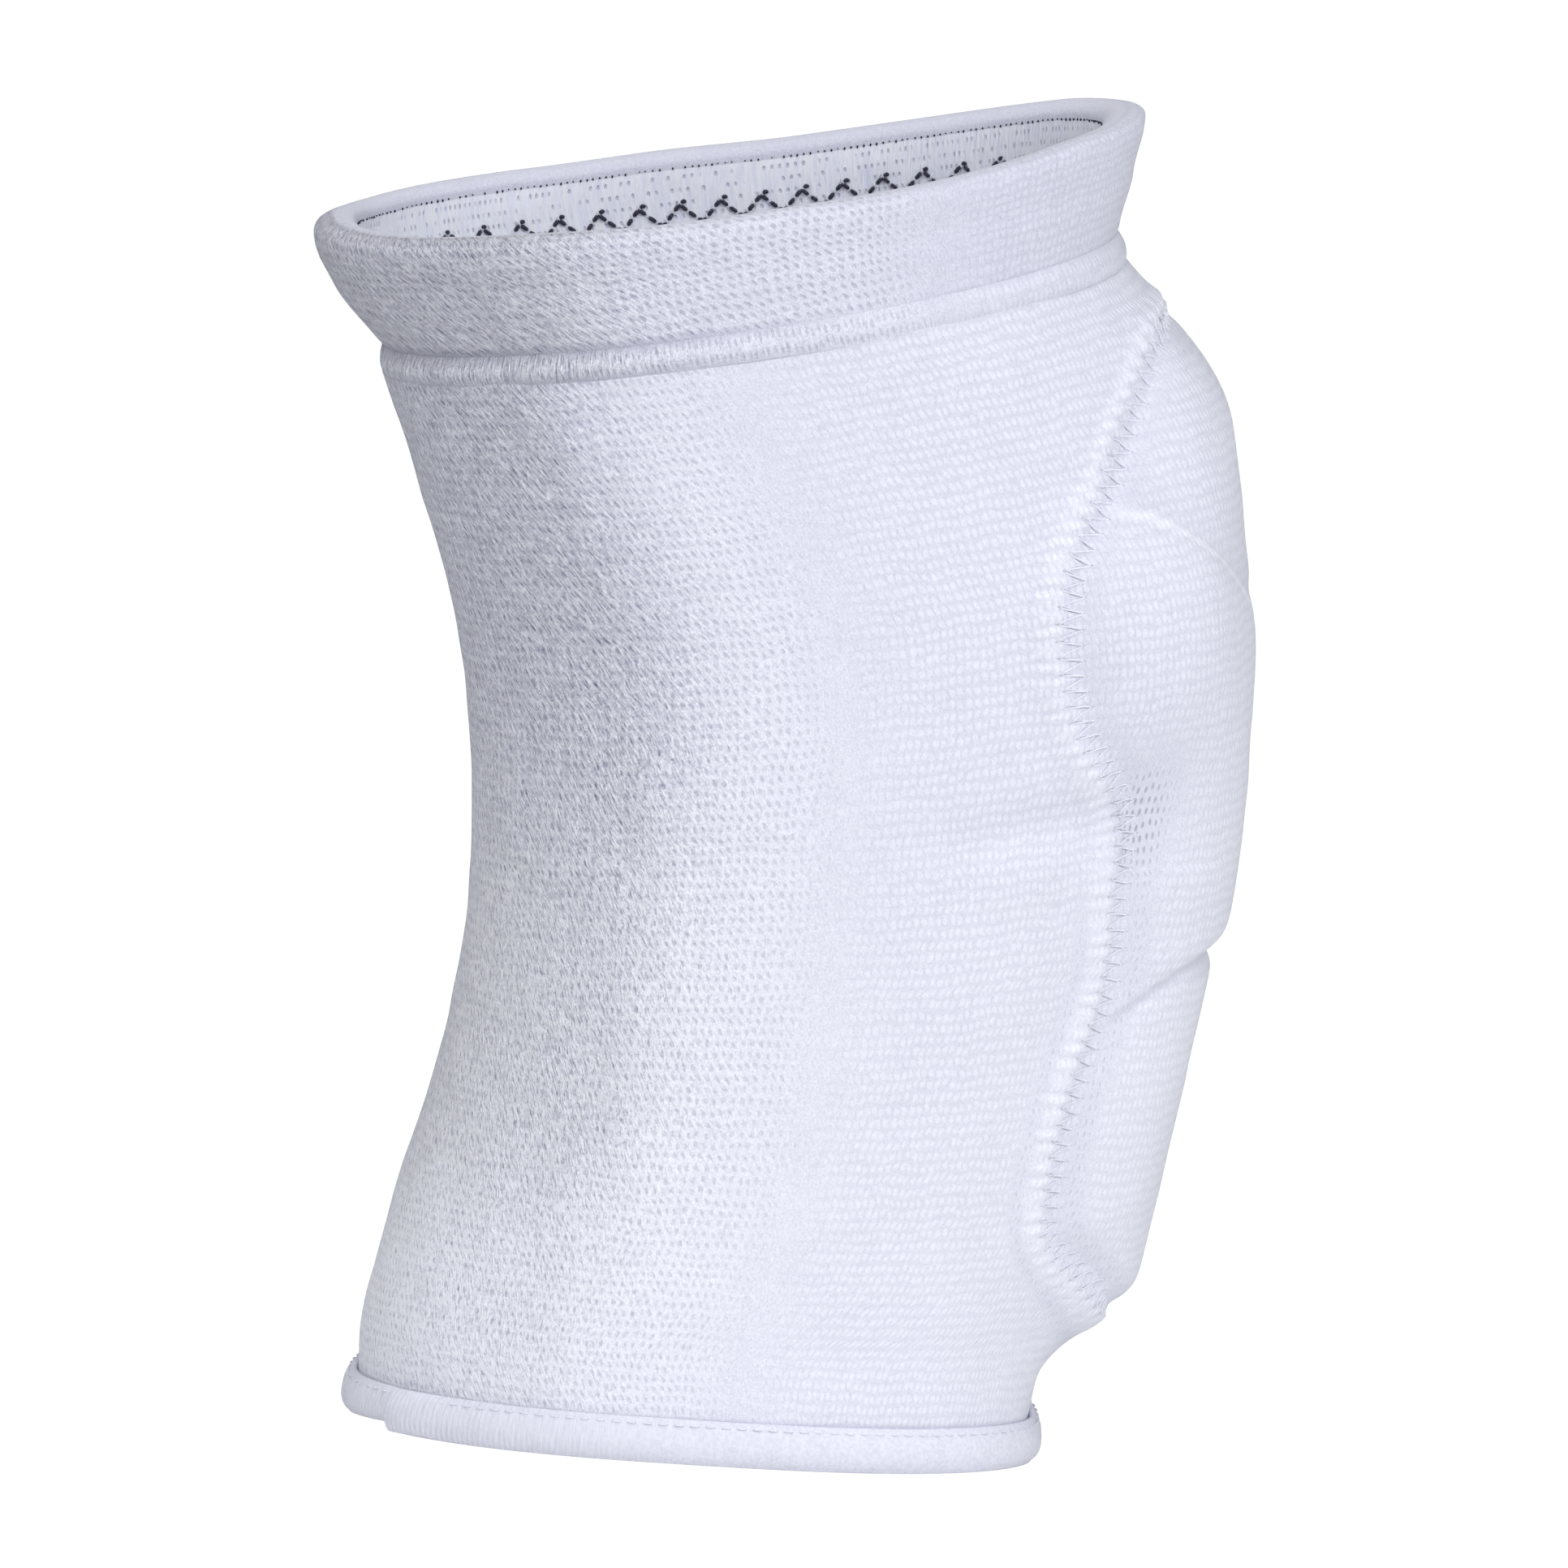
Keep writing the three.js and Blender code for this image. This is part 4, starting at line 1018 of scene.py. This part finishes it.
def make_binding():
    per_rib = 5
    angles = binding_angles(per_rib)
    rib_number = np.arange(RIBS * per_rib) / per_rib
    outer = KNIT_WALL + BINDING_OUT
    slot_floor = BINDING_HEIGHT - BINDING_GRIP - SEAM_GAP
    shown = [(0, -BINDING_FOOT), (0, 0.5), (0, KNIT_WALL + BINDING_FOOT), (0.35, outer - BINDING_OUT * 0.52),
             (0.9, outer - BINDING_OUT * 0.3), (1.8, outer - BINDING_OUT * 0.1), (2.9, outer), (4, outer),
             (5.1, outer - BINDING_OUT * 0.08), (6.1, outer - BINDING_OUT * 0.22),
             (6.9, outer - BINDING_OUT * 0.4),
             (7.5, KNIT_WALL + BINDING_OUT * 0.42), (7.8, KNIT_WALL + BINDING_OUT * 0.26),
             (7.7, KNIT_WALL + SEAM_GAP)]
    hidden = [(slot_floor, KNIT_WALL + SEAM_GAP), (slot_floor, -SEAM_GAP), (7.3, -SEAM_GAP)]
    leg_side = [(7.1, -BINDING_IN * 0.5), (6.6, -BINDING_IN * 0.75), (5.2, -BINDING_IN * 0.95),
                (3.5, -BINDING_IN), (1.9, -BINDING_IN * 0.97), (0.9, -BINDING_IN * 0.85),
                (0.3, -BINDING_IN * 0.68)]
    profile = np.array(shown + hidden + leg_side, float)
    z, off = profile[:, 0][None, :], profile[:, 1][None, :]
    ribbed = np.array([0] * 3 + [1] * 10 + [0] * 4 + [0.7] * 7)[None, :]
    past = (LAP_ANGLE + 4 - angles)[:, None]
    share = np.maximum(0, 1 - z / slot_floor)
    low = lap_raise(past) * share
    slant = rib_number[:, None] - 0.05 * z
    side = np.abs(signed(angles))[:, None]
    ribbed_here = smoothstep(side, 78, 128)
    depth = lerp(0.01, 0.2, ribbed_here) + 0.05 * ribbed_here * value_noise(angles[:, None], 22, 0 * z, 9)
    ribs = depth * (np.abs(np.cos(np.pi * slant)) ** 0.8 - 0.6) * ribbed
    proud = 1.1 * smoothstep(-past, -LAP_STEP * 0.5, 0.6) * (1 - smoothstep(-past, 3, 16)) * ribbed
    uneven = 0.14 * value_noise(angles[:, None], 64, z / 3, 10) * ribbed
    lift = off + ribs + np.where(off > 0, proud, 0) + uneven
    outlines = point_on(binding_section(z + low), angles[:, None], lift)
    run = np.concatenate([[0], np.cumsum(np.hypot(np.diff(profile[:, 0]), np.diff(profile[:, 1])))])
    strength = np.broadcast_to(lerp(0.08, 1, ribbed_here), outlines.shape[:2])
    binding = ring("hem_roll", outlines, np.append(rib_number, RIBS) + 0.5, np.append(run, run[-1] + 1),
                   [binding_cloth], ribbing=strength)
    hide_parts("hem_binding")


# Threads
PANEL_THREAD, CUFF_THREAD, FINE_THREAD, TIE_THREAD = 0.18, 0.38, 0.17, 0.1

def on_seam(run, off, side, lift):
    """Points by the panel's seam: off is millimetres inside it."""
    place = np.array(run) / SEAM_RUN * (len(SEAM) - 1)
    index = np.arange(len(SEAM))
    middle = np.column_stack([np.interp(place, index, SEAM[:, k]) for k in range(2)])
    ahead = np.column_stack([np.interp(place + 0.5, index, SEAM[:, k]) for k in range(2)])
    behind = np.column_stack([np.interp(place - 0.5, index, SEAM[:, k]) for k in range(2)])
    step = ahead - behind
    step /= np.linalg.norm(step, axis=1)[:, None]
    inward = np.column_stack([-step[:, 1], step[:, 0]])
    spot = middle + inward * np.array(off)[:, None]
    angle = np.maximum(spot[:, 0], 0) / PANEL_ARC * side
    return knit_surface(angle, spot[:, 1] / FRONT_LENGTH, np.array(lift))


def make_panel_stitches():
    """The zigzag of white thread that sews the panel's edge, on both sides."""
    paths = []
    turns = int(SEAM_RUN / ZIGZAG_PITCH * 2)
    steps = 7
    for side in (-1, 1):
        run, off, lift = [], [], []
        for k in range(turns):
            share = np.linspace(0, 1, steps, endpoint=False)
            start = 1 if k % 2 == 0 else -1
            run.extend((k + share) * ZIGZAG_PITCH / 2)
            off.extend(start * ZIGZAG_HALF * np.cos(np.pi * share) + 0.15)
            lift.extend(0.16 * np.sin(np.pi * share) - 0.04)
        paths.append(on_seam(run, off, side, lift))
    stitches = thread_tubes("panel_zigzag", paths, PANEL_THREAD, white_thread)


def lining_point(angle, below, lift):
    """Points on the cuff's inner layer, by their depth below the rim."""
    rise = CUFF_HEIGHT - np.asarray(below, float)
    inner = -SEAM_GAP - CUFF_LAYER - CUFF_SWELL * 0.4 * smoothstep(rise, CUFF_HEIGHT * 0.45, CUFF_FOLD)
    share = smoothstep(rise, 0, CUFF_HEIGHT)
    turned = np.mod(np.asarray(angle, float), 360)
    wobble = value_noise(turned, 26, rise / 7, 5) * 0.28 + value_noise(turned, 64, rise / 4, 6) * 0.1
    return point_on(cuff_section(cuff_height(turned, rise)), turned, inner + wobble * share - lift)


def rim_angles(step, below):
    """Angles at even steps round the inside of the cuff."""
    turn = FULL_TURN
    points = lining_point(turn[:-1], below, 0.0)
    points = np.concatenate([points, points[:1]])
    run = run_along(points)
    count = int(round(run[-1] / step))
    return np.interp(np.arange(count) / count * run[-1], run, turn), 360 / count


CUFF_ZIGZAG_PITCH = 7.2
CUFF_ZIGZAG_DEPTH = 4.2


def zigzag_depth(share):
    """How far below the rim the zigzag lies at a share of its pitch."""
    round_wave = 0.5 - 0.5 * np.cos(2 * np.pi * share)
    sharp_wave = 1 - np.abs(2 * np.mod(share, 1) - 1)
    return ZIGZAG_BELOW_RIM + CUFF_ZIGZAG_DEPTH * lerp(round_wave, sharp_wave, 0.75)


def make_cuff_zigzag():
    """The dark zigzag inside the cuff, each leg in three stitches with pale thread crossing between them."""
    starts, turn = rim_angles(CUFF_ZIGZAG_PITCH, ZIGZAG_BELOW_RIM)
    chance = np.random.default_rng(21)
    paths, ties = [], []
    spans = [(-0.05, 0.05), (0.09, 0.22), (0.26, 0.38), (0.42, 0.58), (0.62, 0.74), (0.78, 0.91)]
    for start in starts:
        for low, high in spans:
            shift = chance.uniform(-0.008, 0.008)
            share = np.linspace(low + shift, high + shift, 6)
            lift = 0.2 + 0.12 * np.sin(np.pi * np.linspace(0, 1, 6))
            paths.append(lining_point(start + turn * share, zigzag_depth(share), lift))
        for share in (0.07, 0.24, 0.4, 0.6, 0.76, 0.93):
            lean = (0.035 if share < 0.5 else -0.035) * turn
            steps = np.linspace(-1, 1, 6)
            at, depth = start + turn * share + lean * steps, zigzag_depth(share) - 0.62 * steps
            ties.append(lining_point(at, depth, 0.46 - 0.34 * steps ** 2))
    zigzag = thread_tubes("cuff_zigzag", paths, CUFF_THREAD, dark_thread)
    crossing = thread_tubes("cuff_zigzag_ties", ties, TIE_THREAD, white_thread, 5)


def make_cuff_dashes():
    """Short upright dark stitches in a row at the fold of the cuff, and a finer row below the zigzag."""
    chance = np.random.default_rng(22)
    angles, turn = rim_angles(1.15, DASHES_BELOW_RIM)
    paths = []
    for angle in angles:
        if chance.uniform() < 0.1:
            continue
        tall = chance.uniform(0.22, 0.62)
        at = angle + turn * chance.uniform(-0.12, 0.12)
        steps = np.linspace(0, 1, 4)
        paths.append(lining_point(at + 0 * steps, DASHES_BELOW_RIM + tall * steps, 0.14 + 0 * steps))
    for angle in rim_angles(1.1, LOWER_DASHES_BELOW_RIM)[0]:
        if chance.uniform() < 0.2:
            continue
        wide = chance.uniform(0.25, 0.5) * turn
        steps = np.linspace(0, 1, 4)
        paths.append(lining_point(angle + wide * steps, LOWER_DASHES_BELOW_RIM + 0 * steps, 0.1 + 0 * steps))
    dashes = thread_tubes("cuff_dashes", paths, FINE_THREAD, dark_thread, 5)


def make_hem_stitches():
    """Stitches along the top of the binding."""
    run = binding_run()
    paths = []
    outer = KNIT_WALL + BINDING_OUT
    for start in np.arange(0, run[-1] - 1, HEM_STITCH_PITCH):
        steps = np.linspace(0, 1, 5)
        angle = np.interp(start + HEM_STITCH * steps, run, FULL_TURN)
        lift = outer - BINDING_OUT * 0.4 + 0.1 + 0.16 * np.sin(np.pi * steps)
        paths.append(point_on(binding_section(6.9 + 0 * steps), angle, lift))
    stitches = thread_tubes("hem_stitches", paths, FINE_THREAD, white_thread, 5)


make_sleeve()
make_pad("pad_shin", "foot", "lower", SEAM_LEDGE + 0.8, CREASE_GAP / 2 + 0.2)
make_pad("pad_knee", "lower", "upper", CREASE_GAP / 2 + 0.2, CREASE_GAP / 2 + 0.2)
make_pad("pad_thigh", "upper", "head", CREASE_GAP / 2 + 0.2, SEAM_LEDGE + 0.8)
make_cuff()
make_welt()
make_binding()
make_panel_stitches()
make_cuff_zigzag()
make_cuff_dashes()
make_hem_stitches()


# Floor, light and camera

FLOOR_REACH = 12


def make_floor(name, shade, glow):
    mesh = bpy.data.meshes.new(name)
    corners = [(-FLOOR_REACH, -FLOOR_REACH, 0), (FLOOR_REACH, -FLOOR_REACH, 0),
               (FLOOR_REACH, FLOOR_REACH, 0), (-FLOOR_REACH, FLOOR_REACH, 0)]
    mesh.from_pydata(corners, [], [(0, 1, 2, 3)])
    floor = bpy.data.objects.new(name, mesh)
    bpy.context.scene.collection.objects.link(floor)
    material = bpy.data.materials.new(name)
    material.use_nodes = True
    shader = material.node_tree.nodes["Principled BSDF"]
    shader.inputs["Base Color"].default_value = (shade, shade, shade, 1)
    shader.inputs["Roughness"].default_value = 0.9
    shader.inputs["Specular IOR Level"].default_value = 0.1
    shader.inputs["Emission Color"].default_value = (1, 1, 1, 1)
    shader.inputs["Emission Strength"].default_value = glow
    mesh.materials.append(material)
    floor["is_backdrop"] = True
    return floor


def make_floors():
    """The white floor that is seen, and a duller one in its place that throws light up at the part."""
    seen = make_floor("floor", 0.3, 1.05)
    seen.visible_diffuse = seen.visible_glossy = seen.visible_transmission = seen.visible_shadow = False
    bounce = make_floor("floor_bounce", 0.85, 0.09)
    bounce.visible_camera = False


# Each light's place in metres and its power
LIGHTS = {
    "key": ((1.16, -1.38, 1.38), 16.2),
    "front": ((0.0, -1.8, 1.38), 8.7),
    "front_low": ((0.0, -2.2, 0.4), 6.1),
    "back": ((-1.38, 1.16, 1.38), 9),
    "high_left": ((-0.92, -0.16, 2.11), 5.2),
    "front_left": ((-1.3, -1.3, 1.7), 10.8),
    "low_left": ((-1.3, -1.8, 0.3), 2.2),
    "knee_side": ((2.15, -0.38, 0.43), 8),
    "top": ((0.3, -0.5, 2.3), 9.5),
}
LIGHT_SIZE, LIGHT_AIM = 1.0, (0, 0, 0.12)


def make_light(name, place, power):
    light = bpy.data.lights.new(name, "AREA")
    light.shape, light.size, light.energy = "DISK", LIGHT_SIZE, power
    lamp = bpy.data.objects.new(name, light)
    bpy.context.scene.collection.objects.link(lamp)
    lamp.location = place
    lamp.rotation_euler = (Vector(LIGHT_AIM) - Vector(place)).to_track_quat("-Z", "Y").to_euler()


def make_world():
    world = bpy.data.worlds.new("studio")
    bpy.context.scene.world = world
    world.use_nodes = True
    nodes, links = world.node_tree.nodes, world.node_tree.links
    ground = nodes["Background"]
    ways = nodes.new("ShaderNodeTexCoord")
    parts = nodes.new("ShaderNodeSeparateXYZ")
    links.new(ways.outputs["Generated"], parts.inputs[0])
    span = nodes.new("ShaderNodeMapRange")
    span.inputs["From Min"].default_value, span.inputs["From Max"].default_value = -0.9, 0.7
    span.inputs["To Min"].default_value, span.inputs["To Max"].default_value = 0.02, 0.06
    links.new(parts.outputs[0], span.inputs["Value"])
    links.new(span.outputs["Result"], ground.inputs["Strength"])
    ground.inputs["Color"].default_value = (0.97, 0.98, 1, 1)


CAMERA_RISE = np.radians(9.3)
CAMERA_ROLL = np.radians(4.2)
CAMERA_AWAY = 3.0
PIXEL = 0.00014
FRAME_PIXELS = 1932
HEM_PIXEL = (850, 1775)
HEM_DROP = 0.001


def make_camera():
    across = Vector((1, 0, 0))
    rise = Vector((0, np.sin(CAMERA_RISE), np.cos(CAMERA_RISE)))
    right = across * np.cos(CAMERA_ROLL) + rise * np.sin(CAMERA_ROLL)
    up = rise * np.cos(CAMERA_ROLL) - across * np.sin(CAMERA_ROLL)
    away = right.cross(up)
    middle = FRAME_PIXELS / 2
    aim = (Vector((HEM_MIDDLE, 0, 0)) - rise * HEM_DROP + right * (middle - HEM_PIXEL[0]) * PIXEL
           + up * (HEM_PIXEL[1] - middle) * PIXEL)
    data = bpy.data.cameras.new("camera")
    data.sensor_fit, data.sensor_width = "HORIZONTAL", 36
    data.lens = data.sensor_width * CAMERA_AWAY / (FRAME_PIXELS * PIXEL)
    data.clip_end = 40
    camera = bpy.data.objects.new("camera", data)
    bpy.context.scene.collection.objects.link(camera)
    turned = Matrix((right, up, away)).transposed().to_4x4()
    turned.translation = aim + away * CAMERA_AWAY
    camera.matrix_world = turned
    bpy.context.scene.camera = camera


make_floors()
make_world()
for name, (place, power) in LIGHTS.items():
    make_light(name, place, power)
make_camera()
bpy.context.scene.view_settings.view_transform = "Standard"

boxes = {"cad": cad_box, "visual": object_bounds()}
{name: [list(corner) for corner in box] for name, box in boxes.items()}
